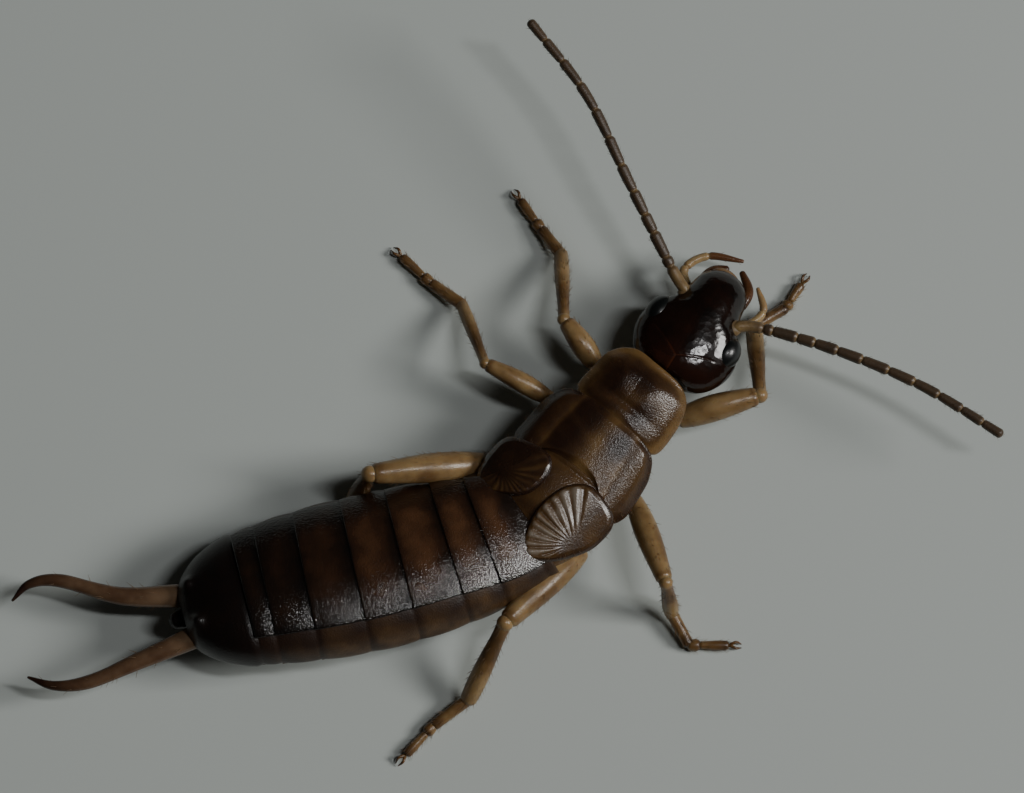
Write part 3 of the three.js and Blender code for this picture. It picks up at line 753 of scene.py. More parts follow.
def blotched(along, side):
    dark = np.zeros(np.broadcast(along, side).shape)
    for blotch in BLOTCHES:
        dark = np.maximum(dark, patch(along, side, *blotch))
    return dark


def thorax_core():
    along, angle = skin_grid(np.linspace(*CORE_ENDS, CORE_ROWS), CORE_SIDES)
    share = share_between(along, SEGMENT_ENDS)
    lift = -SEGMENT_SWELL + SEGMENT_SWELL * np.sin(math.pi * share) ** 0.5
    side, rise = around(read_table(THORAX_SIZES, along), angle, lift)
    dark = 0.36 + 0.6 * blotched(along, side) + 0.12 * (np.sin(angle) < 0)
    return lofted(on_body(along, side, rise), dark=np.clip(dark, 0, 1))


add_piece("thorax_skin", [thorax_core()], looks["shield"], ["mesothorax", "metathorax"])

# %% Shield of the first segment
SHIELD_OUTLINE = [
    [9.5, 0], [9.5, 0.44], [9.24, 0.76], [8.76, 0.84], [8.4, 0.84], [8.26, 0.6],
    [8.25, 0], [8.23, -0.6], [8.3, -0.93], [8.7, -0.97], [9.16, -0.88], [9.43, -0.62],
]
SHIELD_MIDDLE = (8.82, 0)
SHIELD_THICKNESS = 0.08
SEAM = {"depth": 0.0015, "width": 0.02, "paler": 0.05}
SHIELD_RIM = {"width": 0.24, "drop": 0.03}
# Swellings and furrow: their place along and to the left, length, width and height or depth.
SWELLINGS = (8.95, 0.32, 0.2, 0.2, 0.035)
FURROW = (8.62, 0, 0.08, 0.5, 0.03)
FRONT_DROP = {"depth": 0.1, "ends": (9.1, 9.42)}
PALE_RIM = (0.05, 0.2)
ARCH_FLOOR = 0.02


def arch(half, height):
    """The rise of a shield across the body, as part of an ellipse."""
    return lambda side: height * np.sqrt(np.maximum(ARCH_FLOOR, 1 - (side / half) ** 2))


shield_arch = arch(1.06, 0.61)


def shield_rise(along, side, rim_gap):
    disc = smooth_step(rim_gap, 0.0, SHIELD_RIM["width"])
    seam = SEAM["depth"] * hump(side, 0, SEAM["width"]) * disc
    swellings = patch(along, np.abs(side), *SWELLINGS)
    furrow = patch(along, side, *FURROW)
    front_drop = FRONT_DROP["depth"] * smooth_step(along, *FRONT_DROP["ends"])
    return shield_arch(side) - SHIELD_RIM["drop"] * (1 - disc) - seam + swellings - furrow - front_drop


def shield_dark(along, side, rim_gap):
    rim = 1 - smooth_step(rim_gap, *PALE_RIM)
    pale_line = SEAM["paler"] * hump(side, 0, SEAM["width"])
    return np.clip(0.46 + 0.75 * blotched(along, side) - 0.42 * rim - pale_line, 0, 1)


shield = plate_form(
    SHIELD_OUTLINE, 1, shield_rise, SHIELD_THICKNESS, shield_dark, SHIELD_MIDDLE, rings=60, count=260
)
add_piece("first_shield", [shield], looks["shield"], ["prothorax"])

# %% Second shield with the fore wing pads
SECOND_OUTLINE = mirrored([
    [8.36, 0], [8.34, 0.5], [8.24, 0.92], [7.92, 1.12], [7.5, 1.18], [7.12, 1.19], [6.94, 1.06],
    [7.02, 0.8], [7.2, 0.5], [7.24, 0],
])
SECOND_MIDDLE = (7.66, 0)
SECOND_THICKNESS = 0.05
PAD_FOLD = {"side": 0.64, "slant": 0.1, "along": 7.7, "depth": 0.008}
LOBE = {"side": 0.9, "width": 0.2, "height": 0.045}
SECOND_RIM = {"drop": 0.045, "width": 0.16, "dark": (0.04, 0.16)}
MIDDLE_STRIPE = (-0.08, 0.16)
second_arch = arch(1.26, 0.63)


def fold_line(along, side, width):
    """The crease between the shield and each pad, which runs outwards to the rear."""
    return hump(np.abs(side), PAD_FOLD["side"] + PAD_FOLD["slant"] * (PAD_FOLD["along"] - along), width)


def second_rise(along, side, rim_gap):
    fold = PAD_FOLD["depth"] * fold_line(along, side, 0.08) * smooth_step(rim_gap, 0, 0.1)
    lobe = LOBE["height"] * hump(np.abs(side), LOBE["side"], LOBE["width"]) * smooth_step(rim_gap, 0.02, 0.2)
    rim = SECOND_RIM["drop"] * (1 - smooth_step(rim_gap, 0, SECOND_RIM["width"]))
    return second_arch(side) - fold + lobe - rim


def second_dark(along, side, rim_gap):
    pad = smooth_step(np.abs(side), PAD_FOLD["side"] - 0.06, PAD_FOLD["side"] + 0.08)
    rim = (1 - smooth_step(rim_gap, *SECOND_RIM["dark"])) * pad
    disc = 0.34 + 0.95 * blotched(along, side) - 0.24 * hump(side, *MIDDLE_STRIPE)
    # The left fore pad is 0.25 darker than the right: painted shade.
    pads = 0.45 + 0.25 * (side > 0)
    return np.clip(disc * (1 - pad) + pads * pad + 0.3 * rim - 0.25 * fold_line(along, side, 0.05), 0, 1)


second = plate_form(
    SECOND_OUTLINE, 1, second_rise, SECOND_THICKNESS, second_dark, SECOND_MIDDLE, rings=60, count=300
)
second_nodes = ["fore_wing_pad_left", "fore_wing_pad_right"]
add_piece("second_shield", [second], looks["shield"], second_nodes)

# %% Hind wing pads
HIND_PAD_OUTLINES = {
    "left": [
        [7.12, 0.4], [7.12, 0.8], [6.9, 1.22], [6.54, 1.29], [6.1, 1.24], [5.72, 1.12],
        [5.54, 0.9], [5.64, 0.68], [6.02, 0.44], [6.4, 0.24], [6.84, 0.22],
    ],
    "right": [
        [7.14, 0.4], [7.12, 0.8], [6.96, 1.14], [6.52, 1.17], [6.19, 1.03], [5.9, 0.84],
        [5.74, 0.64], [5.84, 0.36], [6.12, 0.12], [6.45, 0.02], [6.88, 0.12],
    ],
}
HIND_MIDDLE = (6.4, 0.62)
HIND_THICKNESS = 0.06
HIND_RIM = {"drop": 0.05, "width": 0.1, "bead": 0.01, "bead_place": (0.035, 0.025), "dark": (0.02, 0.07)}
FAN = {"along": 6.32, "side": 0.9, "folds": 13, "height": 0.01, "clear": 0.1, "from": 0.35, "to": 0.6}
# Each ripple in the fan: its size, its turns round the pivot and its turns outwards.
WANDER = ((0.9, 3.1, 2), (0.5, 9, -5))
UNEVEN = (0.25, 7, 4)
# Painted shade added to each hind pad's darkness: the left pad lies on the side away from the light.
PAD_PAINTED_SHADE = {"left": 0.45, "right": 0.0}
PAD_RELIEF = {"left": 0.4, "right": 1.0}
hind_arch = arch(1.45, 0.69)


def ripple(bearing, reach, size, turns, outward):
    return size * np.sin(turns * bearing + outward * reach)


def fan_wave(along, side, rim_gap):
    reach = np.hypot(along - FAN["along"], side - FAN["side"])
    bearing = np.arctan2(FAN["side"] - side, along - FAN["along"])
    strength = smooth_step(reach, FAN["clear"], 4 * FAN["clear"]) * smooth_step(rim_gap, 0.03, 0.08)
    strength = strength * smooth_step(bearing, FAN["from"], FAN["to"])
    wavy = sum(ripple(bearing, reach, *wander) for wander in WANDER)
    uneven = 1 - UNEVEN[0] + ripple(bearing, reach, *UNEVEN)
    return uneven * strength * np.cos(2 * FAN["folds"] * bearing + wavy), strength


def hind_rise(along, side, rim_gap):
    wave, _ = fan_wave(along, side, rim_gap)
    drop = HIND_RIM["drop"] * (1 - smooth_step(rim_gap, 0, HIND_RIM["width"]))
    bead = HIND_RIM["bead"] * hump(rim_gap, *HIND_RIM["bead_place"])
    return hind_arch(side) + FAN["height"] * wave - drop + bead


def hind_tone_and_sheen(along, side, rim_gap):
    wave, strength = fan_wave(along, side, rim_gap)
    rim = 1 - smooth_step(rim_gap, *HIND_RIM["dark"])
    # The fan is painted paler, towards the pad's grey tone, as painted sheen; its crests are paler and its
    # creases darker, as painted sheen and painted shade. The dark rim is the pad's own colour.
    return 0.5 - 0.3 * strength - 0.2 * wave + 0.25 * rim


def hind_pad(side, turn):
    """One hind pad. The left one is darker with painted shade, and its folds are lower."""
    def raised(*place):
        return hind_rise(*place) - (1 - PAD_RELIEF[side]) * FAN["height"] * fan_wave(*place)[0]

    def shaded(*place):
        return np.clip(hind_tone_and_sheen(*place) + PAD_PAINTED_SHADE[side], 0, 1)

    outline = HIND_PAD_OUTLINES[side]
    return plate_form(outline, turn, raised, HIND_THICKNESS, shaded, HIND_MIDDLE, rings=70, count=460)


hind_pads = {side: hind_pad(side, turn) for side, turn in SIDES.items()}
for side, pad in hind_pads.items():
    add_piece(f"hind_pad_{side}", [pad], looks["pad"], [f"hind_wing_pad_{side}"])

# %% [markdown]
# ## The head
# The head is a flat, heart-shaped capsule with a slight nod. Cross-sections along its axis give it, with
# widths that round off the temples and draw in to the mouth. A fine Y-shaped seam, where the skin will
# split at the next moult, is sunk into the surface.

# %% Head capsule
HEAD = {"base": np.array([2.36, -1.13, 1.27]), "heading": math.radians(25), "nod": math.radians(7)}
HEAD_SIZES = [
    [0.0, 0.46, 0.34, 0.3],
    [0.08, 0.64, 0.42, 0.36],
    [0.25, 0.8, 0.49, 0.43],
    [0.5, 0.91, 0.53, 0.46],
    [0.75, 0.93, 0.56, 0.47],
    [1.0, 0.86, 0.575, 0.46],
    [1.18, 0.75, 0.58, 0.44],
    [1.35, 0.62, 0.57, 0.41],
    [1.6, 0.53, 0.53, 0.35],
    [1.85, 0.48, 0.44, 0.27],
    [2.02, 0.38, 0.32, 0.2],
    [2.14, 0.22, 0.18, 0.12],
]
HEAD_TURN = np.array(Matrix.Rotation(HEAD["heading"], 3, "Z") @ Matrix.Rotation(HEAD["nod"], 3, "Y"))
HEAD_ROWS = ((0, 0.3, 40), (0.31, 1.98, 120), (1.99, 2.14, 20))
HEAD_SIDES = 180
BACK_ROWS = {"along": [0.1, 0.05, 0.015], "share": np.array([0.45, 0.75, 0.92])}
HEAD_SEAM = {"depth": 0.008, "stem": 0.012, "arm": 0.014, "fork": (0.26, 0.3), "arm_end": (0.5, 0.66)}
# Brow and hollows: their place along and to the left, length, width and height or depth.
BROW = (1.3, 0, 0.5, 0.25, 0.02)
HOLLOWS = (1.3, 0.46, 0.1, 0.1, 0.03)


def on_head(along, side, rise):
    places = np.stack(np.broadcast_arrays(along, side, rise), -1).astype(float)
    return places @ HEAD_TURN.T + HEAD["base"]


def seam_strength(along, side):
    """A Y on the top of the head: its stem on the middle line, and two arms that curve forwards."""
    stem = hump(side, 0, HEAD_SEAM["stem"]) * (1 - smooth_step(along, *HEAD_SEAM["fork"]))
    arm_line = 0.28 + 0.6 * np.abs(side) - 0.2 * side**2
    arms = hump(along, arm_line, HEAD_SEAM["arm"]) * (1 - smooth_step(np.abs(side), *HEAD_SEAM["arm_end"]))
    return np.maximum(stem, arms * (along > HEAD_SEAM["fork"][0]))


def head_capsule():
    front = np.concatenate([np.linspace(*rows) for rows in HEAD_ROWS])
    sizes = read_table(HEAD_SIZES, front)
    along = np.concatenate([BACK_ROWS["along"], front])
    half, top, bottom = (np.concatenate([BACK_ROWS["share"] * size[0], size])[:, None] for size in sizes)
    along, angle = skin_grid(along, HEAD_SIDES)
    over = np.sin(angle) > 0
    side = half * np.cos(angle)
    rise = np.where(over, top, bottom) * np.sin(angle)
    seam = seam_strength(along, side) * over
    brow = patch(along, side, *BROW) * over
    hollows = patch(along, np.abs(side), *HOLLOWS) * over
    rise = rise - HEAD_SEAM["depth"] * seam + brow - hollows
    temple_glow = 0.3 * (1 - smooth_step(along, 0.1, 0.7))
    pale_front = 0.25 * smooth_step(along, 1.95, 2.14)
    dark = 0.8 - temple_glow - 0.35 * seam - pale_front + 0.1 * (side < 0)
    return lofted(on_head(along, side, rise), dark=np.clip(dark, 0, 1))


add_piece("head_capsule", [head_capsule()], looks["head"], ["head"])

# %% Neck
neck_line = [on_body(9.1, 0.0, -0.03), on_body(9.5, -0.06, -0.03), on_head(0.3, 0.0, -0.02)]
neck = limb(neck_line, profile(0.34, 0.3, 0.3, 0.28), dark=0.5, sides=48)
add_piece("neck_membrane", [neck], looks["neck"], ["neck"])

# %% [markdown]
# ### Eyes
# A compound eye is a dome of hundreds of facets about a fiftieth of a millimetre across. Modelling each
# facet would cost more faces than the rest of the head, so the dome is smooth and the facets are a
# cell pattern in the bump of its own very dark, glossy material.

# %% Eyes
EYE = {"along": 0.88, "side": 0.67, "rise": 0.15, "radius": 0.32, "stretch": (1, 0.76, 0.86)}
FACET_MM = 0.02
FACET_UM = 1.5
EYE_BLACK = (0.004, 0.005, 0.005, 1)


def eye_material():
    material, tree, shader = new_material("eye_horn")
    place = add_node(tree, "ShaderNodeTexCoord").outputs["Object"]
    facets = add_node(tree, "ShaderNodeTexVoronoi", {"Vector": place, "Scale": 1 / (FACET_MM * MM)})
    bump_inputs = {"Height": facets.outputs["Distance"], "Distance": FACET_UM * MICRON, "Strength": 0.6}
    bump = add_node(tree, "ShaderNodeBump", bump_inputs, invert=True)
    fill_inputs(tree, shader, {
        "Base Color": EYE_BLACK,
        "Normal": bump.outputs["Normal"],
        "Roughness": 0.32,
        "Coat Weight": 0.25,
        "Coat Roughness": 0.08,
    })
    return material


looks["eye"] = eye_material()
for side, turn in SIDES.items():
    reach = [EYE["radius"] * stretch for stretch in EYE["stretch"]]
    form = ball(on_head(EYE["along"], turn * EYE["side"], EYE["rise"]), reach, HEAD_TURN)
    add_piece(f"eye_ball_{side}", [form], looks["eye"], [f"eye_{side}"])

# %% [markdown]
# ## Mouth, palps and feelers
# Under the front of the head lie the lip, the jaws and the palps, small jointed feelers that taste the
# food. The long feelers start with a stout first segment, and then come eleven slim beads that are pale
# where they join. A radius that dips at each joint makes the beads.

# %% Mouth parts
lip = ball(on_head(2.05, 0.08, -0.04), (0.2, 0.28, 0.13), HEAD_TURN, dark=0.35)
lobe_line = [on_head(1.8, -0.42, -0.14), on_head(2.16, -0.36, -0.18), on_head(2.42, -0.06, -0.22)]
lobe = limb(lobe_line, profile(0.08, 0.09, 0.08, 0.05), dark=0.8)
jaw_line = [on_head(1.75, 0.36, -0.18), on_head(2.1, 0.34, -0.2), on_head(2.34, 0.14, -0.2)]
jaw = limb(jaw_line, profile(0.13, 0.13, 0.1, 0.05), lambda share, _: 0.5 + 0.3 * share)
add_piece("mouth_parts", [lip, lobe, jaw], looks["mouth"], ["mouthparts"])

# %% Palps
PALP_LINES = {
    "left": [[1.6, 0.42, -0.32], [1.9, 0.78, -0.3], [2.34, 0.58, -0.28], [2.6, 0.0, -0.24]],
    "right": [[1.4, -0.42, -0.32], [1.72, -0.68, -0.32], [2.06, -0.74, -0.3], [2.34, -0.44, -0.26]],
}
PALP_JOINTS = np.array([0.34, 0.62])
PALP_WAIST = (0.25, 0.014)
# How dark each palp's tip is. The left tip is darker than the right by painted shade.
PALP_TIP_DARK_AND_SHADE = {"left": 0.5, "right": 0.14}
palp_thickness = profile(0.085, 0.085, 0.075, 0.07, 0.06, 0.03)


def gap_to_joint(share, joints):
    """How far each share is from the nearest joint."""
    return np.abs(np.asarray(share)[..., None] - joints).min(axis=-1)


def palp_radius(share):
    waist = PALP_WAIST[0] * hump(gap_to_joint(share, PALP_JOINTS), 0, PALP_WAIST[1])
    return palp_thickness(share) * (1 - waist)


def palp(side):
    def palp_dark(share, _):
        return 0.04 + PALP_TIP_DARK_AND_SHADE[side] * smooth_step(share, 0.6, 0.66)

    line = [on_head(*place) for place in PALP_LINES[side]]
    return limb(line, palp_radius, palp_dark, hairy=0.6, sides=20, steps=90)


palps = {side: palp(side) for side in SIDES}
for side, form in palps.items():
    add_piece(f"mouth_palp_{side}", [form], looks["mouth"], [f"palp_{side}"])

# %% Feelers
ANTENNA_LINES = {
    "left": [
        [3.36, -0.34, 1.3],
        [3.45, -0.1, 1.36],
        [3.46, 0.42, 1.42],
        [3.6, 1.98, 1.75],
        [3.76, 3.62, 2.02],
        [3.6, 5.21, 2.2],
    ],
    "right": [
        [3.56, -0.98, 1.3],
        [3.8, -1.05, 1.36],
        [4.19, -1.3, 1.36],
        [5.08, -2.36, 1.5],
        [5.95, -3.66, 1.62],
        [6.64, -5.12, 1.7],
    ],
}
SCAPE_LENGTH = 0.78
SCAPE_RADIUS = 0.1
BEADS = np.array([0.17, 0.45, 0.33, 0.42, 0.47, 0.5, 0.5, 0.49, 0.47, 0.44, 0.42])
BEAD_RADII = (0.108, 0.084)
# Each waist: how much of the radius is gone there, and half its length.
BEAD_WAIST = (0.24, 0.026)
SCAPE_WAIST = (0.3, 0.035)
SCAPE_DENT = {"depth": 0.3, "place": (0.3, 0.1)}
BEAD_SWELL = (0.8, 0.22)
PALE_JOINT = (0.6, 0.03)
SOCKET = {"along": 0.26, "drop": 0.02, "reach": (0.15, 0.15, 0.1)}


def feeler(side):
    line = Line(ANTENNA_LINES[side])
    scape_end = SCAPE_LENGTH / line.length
    joints = scape_end + (1 - scape_end) * np.cumsum(np.concatenate([[0], BEADS])) / BEADS.sum()

    def at_joint(share, strength, width):
        return strength * hump(gap_to_joint(share, joints[:-1]) * line.length, 0, width)

    def radius(share):
        share = np.asarray(share)
        thick = BEAD_RADII[0] + (BEAD_RADII[1] - BEAD_RADII[0]) * share
        swelling = BEAD_SWELL[0] + BEAD_SWELL[1] * np.sqrt(share_between(share, joints))
        bead = thick * swelling * (1 - at_joint(share, *BEAD_WAIST))
        scape = SCAPE_RADIUS * (1 - SCAPE_DENT["depth"] * hump(share / scape_end, *SCAPE_DENT["place"]))
        return np.where(share < scape_end, scape * (1 - at_joint(share, *SCAPE_WAIST)), bead)

    def dark(share, _):
        scape_tone = 0.12 + 0.25 * smooth_step(share / scape_end, 0.7, 1)
        return np.where(share < scape_end, scape_tone, 0.8 - at_joint(share, *PALE_JOINT))

    return limb(line, radius, dark, hairy=1.0, sides=24, steps=460)


def socket_form(side):
    root = Line(ANTENNA_LINES[side]).frame_at(SOCKET["along"])[0][0]
    return ball(root - np.array([0, 0, SOCKET["drop"]]), SOCKET["reach"], HEAD_TURN, dark=0.3)


feelers = {side: feeler(side) for side in SIDES}
for side, form in feelers.items():
    nodes = [f"antenna_{side}_scape", f"antenna_{side}_flagellum"]
    add_piece(f"feeler_{side}", [form, socket_form(side)], looks["feeler"], nodes)

# %% [markdown]
# ## Legs
# Each leg is a chain of hip, thigh, shin and a foot of three segments with two claws. The joints in space
# are the same as in the solids. One function makes any leg from them, because the six legs differ only
# in their joints and a little in thickness.

# %% Leg joints
LEG_LINES = {
    "front_left": {
        "root": [1.66, -0.88, 0.78], "hip": [1.53, -0.32, 0.85], "knee": [1.46, 0.66, 1.08],
        "ankle": [2.13, 1.81, 0.26], "toes": [[2.09, 2.4, 0.13], [2.06, 3.05, 0.1]], "thick": 0.86,
    },
    "middle_left": {
        "root": [0.72, -1.12, 0.74], "hip": [0.58, -0.4, 0.82], "knee": [-0.1, 0.71, 1.15],
        "ankle": [0.21, 1.97, 0.26], "toes": [[-0.03, 2.59, 0.13], [-0.21, 3.28, 0.1]], "thick": 0.74,
    },
    "hind_left": {
        "root": [-0.55, -1.5, 0.7], "hip": [-0.86, -0.82, 0.9], "knee": [-2.84, 0.02, 1.66],
        "ankle": [-3.2, 0.0, 0.28], "toes": [[-3.62, -0.34, 0.13], [-4.1, -0.62, 0.1]], "thick": 1.1,
    },
    "front_right": {
        "root": [1.72, -1.5, 0.78], "hip": [2.16, -1.8, 0.84], "knee": [3.6, -2.24, 1.06],
        "ankle": [4.27, -1.02, 0.26], "toes": [[4.92, -1.02, 0.13], [5.4, -0.8, 0.1]], "thick": 1.0,
    },
    "middle_right": {
        "root": [0.68, -1.95, 0.74], "hip": [0.84, -2.55, 0.82], "knee": [0.46, -4.19, 1.38],
        "ankle": [0.39, -4.52, 0.28], "toes": [[0.36, -5.13, 0.13], [0.95, -5.5, 0.1]], "thick": 0.9,
    },
    "hind_right": {
        "root": [-0.3, -2.25, 0.7], "hip": [-0.34, -2.85, 0.76], "knee": [-2.22, -3.33, 1.33],
        "ankle": [-3.34, -3.95, 0.26], "toes": [[-4.08, -4.0, 0.13], [-4.76, -4.18, 0.1]], "thick": 1.08,
    },
}
print("legs:", len(LEG_LINES))

# %% Leg pieces
LEG_RADII = {
    "hip": (0.24, 0.27, 0.2),
    "thigh": (0.15, 0.21, 0.235, 0.225, 0.19, 0.15),
    "shin": (0.12, 0.115, 0.135, 0.15, 0.15, 0.13),
}
KNEE_RADIUS = 0.135
HIP_MIDDLE = 0.55
SHIN_ENDS = (-0.03, 1.06)
BOWS = {"thigh": np.array([0, 0, 0.08]), "shin": np.array([0, 0, 0.03])}
FOOT_RADII = {
    "first": (0.105, 0.105, 0.1, 0.105),
    "second": (0.08, 0.105, 0.1),
    "third": (0.065, 0.075, 0.085, 0.08),
}
FOOT_OVERLAP = -0.06
FIRST_END = 1.05
SECOND_END = 0.3
THIRD_START = 0.24
CLAW = {"spread": 0.45, "curl": 0.3, "half_way": 0.12, "length": 0.21, "rise": 0.25, "dip": -0.3}


def between_points(a, b, share):
    return np.asarray(a) + share * (np.asarray(b) - np.asarray(a))


def leg_radius(part, leg):
    return profile(*(radius * leg["thick"] for radius in LEG_RADII[part]))


def hip_form(leg):
    line = [leg["root"], between_points(leg["root"], leg["hip"], HIP_MIDDLE), leg["hip"]]
    return limb(line, leg_radius("hip", leg), dark=0.35)


def thigh_dark(share, angle):
    stripe = 0.35 * hump(share, 0.6, 0.16) * smooth_step(np.cos(angle), 0.3, 0.9)
    return 0.22 + stripe + 0.3 * hump(share, 0.93, 0.03)


def thigh_form(leg):
    bow = between_points(leg["hip"], leg["knee"], 0.5) + BOWS["thigh"]
    line = [leg["hip"], bow, leg["knee"]]
    return limb(line, leg_radius("thigh", leg), thigh_dark, hairy=0.35, sides=36, steps=70)


def shin_dark(share, _):
    return 0.12 + 0.62 * hump(share, 0.3, 0.22)


def shin_form(leg):
    start, end = (between_points(leg["knee"], leg["ankle"], share) for share in SHIN_ENDS)
    line = [start, between_points(start, end, 0.5) + BOWS["shin"], end]
    return limb(line, leg_radius("shin", leg), shin_dark, hairy=1.0, sides=30, steps=60)


def knee_form(leg):
    size = KNEE_RADIUS * leg["thick"]
    return ball(np.asarray(leg["knee"], float), (size, size, size), dark=0.18)


def foot_dark(share, angle):
    return 0.3 + 0.4 * smooth_step(share, 0.6, 0.95) + 0.15 * np.sin(angle)


def claw_dark(share, _):
    return 0.5 + 0.5 * share


def claw_form(tip, heading, turn):
    bearing = heading + CLAW["spread"] * turn
    inward = bearing - CLAW["curl"] * turn
    middle = tip + CLAW["half_way"] * np.array([math.cos(bearing), math.sin(bearing), CLAW["rise"]])
    end = tip + CLAW["length"] * np.array([math.cos(inward), math.sin(inward), CLAW["dip"]])
    return limb([tip, middle, end], profile(0.03, 0.024, 0.008), claw_dark, sides=12, steps=16)


def foot_forms(leg):
    """Three segments and two claws. Each segment starts a little inside the one before it."""
    ankle, pad, tip = (np.asarray(place, float) for place in (leg["ankle"], *leg["toes"]))
    start = between_points(ankle, pad, FOOT_OVERLAP)
    lines = {
        "first": [start, between_points(start, pad, FIRST_END)],
        "second": [between_points(pad, tip, FOOT_OVERLAP), between_points(pad, tip, SECOND_END)],
        "third": [between_points(pad, tip, THIRD_START), tip],
    }
    forms = [
        limb(line, profile(*FOOT_RADII[part]), foot_dark, hairy=1.3, sides=24)
        for part, line in lines.items()
    ]
    heading = math.atan2(tip[1] - pad[1], tip[0] - pad[0])
    return forms + [claw_form(tip, heading, turn) for turn in SIDES.values()]


leg_skins = []
for name, leg in LEG_LINES.items():
    hip, thigh, shin, foot = hip_form(leg), thigh_form(leg), shin_form(leg), foot_forms(leg)
    add_piece(f"hip_{name}", [hip], looks["leg"], [f"leg_{name}_coxa"])
    add_piece(f"thigh_{name}", [thigh, knee_form(leg)], looks["leg"], [f"leg_{name}_femur"])
    add_piece(f"shin_{name}", [shin], looks["leg"], [f"leg_{name}_tibia"])
    add_piece(f"foot_{name}", foot, looks["leg"], [f"leg_{name}_tarsus"])
    leg_skins += [thigh, shin, *foot[:3]]

# %% [markdown]
# ## Bristles
# Fine bristles grow on the legs, feelers, palps and pincers and fringe the shields and pads. They could be
# drawn in the materials, but at the outline of a leg only real shapes show. Geometry Nodes scatter one thin
# three-sided strand over the same skins, where a stored mark says how hairy they are, and lean it
# towards the tip. The result is kept as a plain mesh.

# %% Bristle nodes
BRISTLE_INPUTS = {"Per square mm": "Float", "Length mm": "Float", "Lean": "Float", "Seed": "Int"}
STRAND = {"Vertices": 3, "Side Segments": 3, "Radius Top": 0.012, "Radius Bottom": 0.045, "Depth": 1.0}
STRAY = 0.3
LENGTH_RANGE = {"Min": 0.55 * MM, "Max": 1.25 * MM}


def stored_mark(tree, name):
    node = add_node(tree, "GeometryNodeInputNamedAttribute", {"Name": name}, data_type="FLOAT")
    return node.outputs["Attribute"]


def combined(tree, kind, operation, first, second):
    return add_node(tree, kind, {0: first, 1: second}, operation=operation).outputs[0]


def random_length(tree):
    node = add_node(tree, "FunctionNodeRandomValue", data_type="FLOAT")
    for socket in node.inputs:
        if socket.type == "VALUE" and socket.name in LENGTH_RANGE:
            socket.default_value = LENGTH_RANGE[socket.name]
    return next(socket for socket in node.outputs if socket.type == "VALUE")


def hair_tree(material):
    """Scatters a strand over a skin, as densely as its mark says, and leans it the way the skin lies."""
    tree = bpy.data.node_groups.new("short_bristles", "GeometryNodeTree")
    sockets = {}
    tree.interface.new_socket("Geometry", in_out="INPUT", socket_type="NodeSocketGeometry")
    for label, kind in BRISTLE_INPUTS.items():
        made = tree.interface.new_socket(label, in_out="INPUT", socket_type=f"NodeSocket{kind}")
        sockets[label] = made.identifier
    tree.interface.new_socket("Geometry", in_out="OUTPUT", socket_type="NodeSocketGeometry")
    given = add_node(tree, "NodeGroupInput").outputs
    hairy = stored_mark(tree, "hairy")
    per_square_mm = combined(tree, "ShaderNodeMath", "MULTIPLY", hairy, given["Per square mm"])
    density = combined(tree, "ShaderNodeMath", "MULTIPLY", per_square_mm, 1 / MM**2)
    scatter_inputs = {"Mesh": given["Geometry"], "Density": density, "Seed": given["Seed"]}
    scatter = add_node(
        tree, "GeometryNodeDistributePointsOnFaces", scatter_inputs, distribute_method="RANDOM"
    )
    way_inputs = {axis.upper(): stored_mark(tree, f"lie_{axis}") for axis in "xyz"}
    way = add_node(tree, "ShaderNodeCombineXYZ", way_inputs).outputs["Vector"]
    lean_inputs = {"Vector": way, "Scale": given["Lean"]}
    lean = add_node(tree, "ShaderNodeVectorMath", lean_inputs, operation="SCALE").outputs["Vector"]
    upright = combined(tree, "ShaderNodeVectorMath", "ADD", scatter.outputs["Normal"], lean)
    stray_inputs = {"Min": (-STRAY, -STRAY, -STRAY), "Max": (STRAY, STRAY, STRAY)}
    stray = add_node(tree, "FunctionNodeRandomValue", stray_inputs, data_type="FLOAT_VECTOR")
    leaning = combined(tree, "ShaderNodeVectorMath", "ADD", upright, stray.outputs["Value"])
    turn = add_node(tree, "FunctionNodeAlignRotationToVector", {"Vector": leaning}, axis="Z")
    strand = add_node(tree, "GeometryNodeMeshCone", STRAND, fill_type="NGON")
    length = combined(tree, "ShaderNodeMath", "MULTIPLY", random_length(tree), given["Length mm"])
    grown = add_node(tree, "GeometryNodeInstanceOnPoints", {
        "Points": scatter.outputs["Points"],
        "Instance": strand.outputs["Mesh"],
        "Rotation": turn.outputs["Rotation"],
        "Scale": length,
    })
    real = add_node(tree, "GeometryNodeRealizeInstances", {"Geometry": grown.outputs["Instances"]})
    paint_inputs = {"Geometry": real.outputs["Geometry"], "Material": material}
    paint = add_node(tree, "GeometryNodeSetMaterial", paint_inputs)
    add_node(tree, "NodeGroupOutput", {"Geometry": paint.outputs["Geometry"]})
    return tree, sockets


BRISTLE_TREE, BRISTLE_SOCKETS = hair_tree(looks["hair"])
print("nodes in the bristle tree:", len(BRISTLE_TREE.nodes))

# %% Grow the bristles
ROOT_PATCH = 0.003
STRAND_POINTS = 12
UNWRAP_TILES = 8
TILE_MARGIN = 0.05


def tiled(forms):
    """Gives each skin its own square of the unwrapped sheet."""
    for number, (_, _, marks) in enumerate(forms):
        column, row = number % UNWRAP_TILES, number // UNWRAP_TILES
        for key, start in (("flat_u", column), ("flat_v", row)):
            marks[key] = (start + TILE_MARGIN + (1 - 2 * TILE_MARGIN) * marks[key]) / UNWRAP_TILES
    return forms


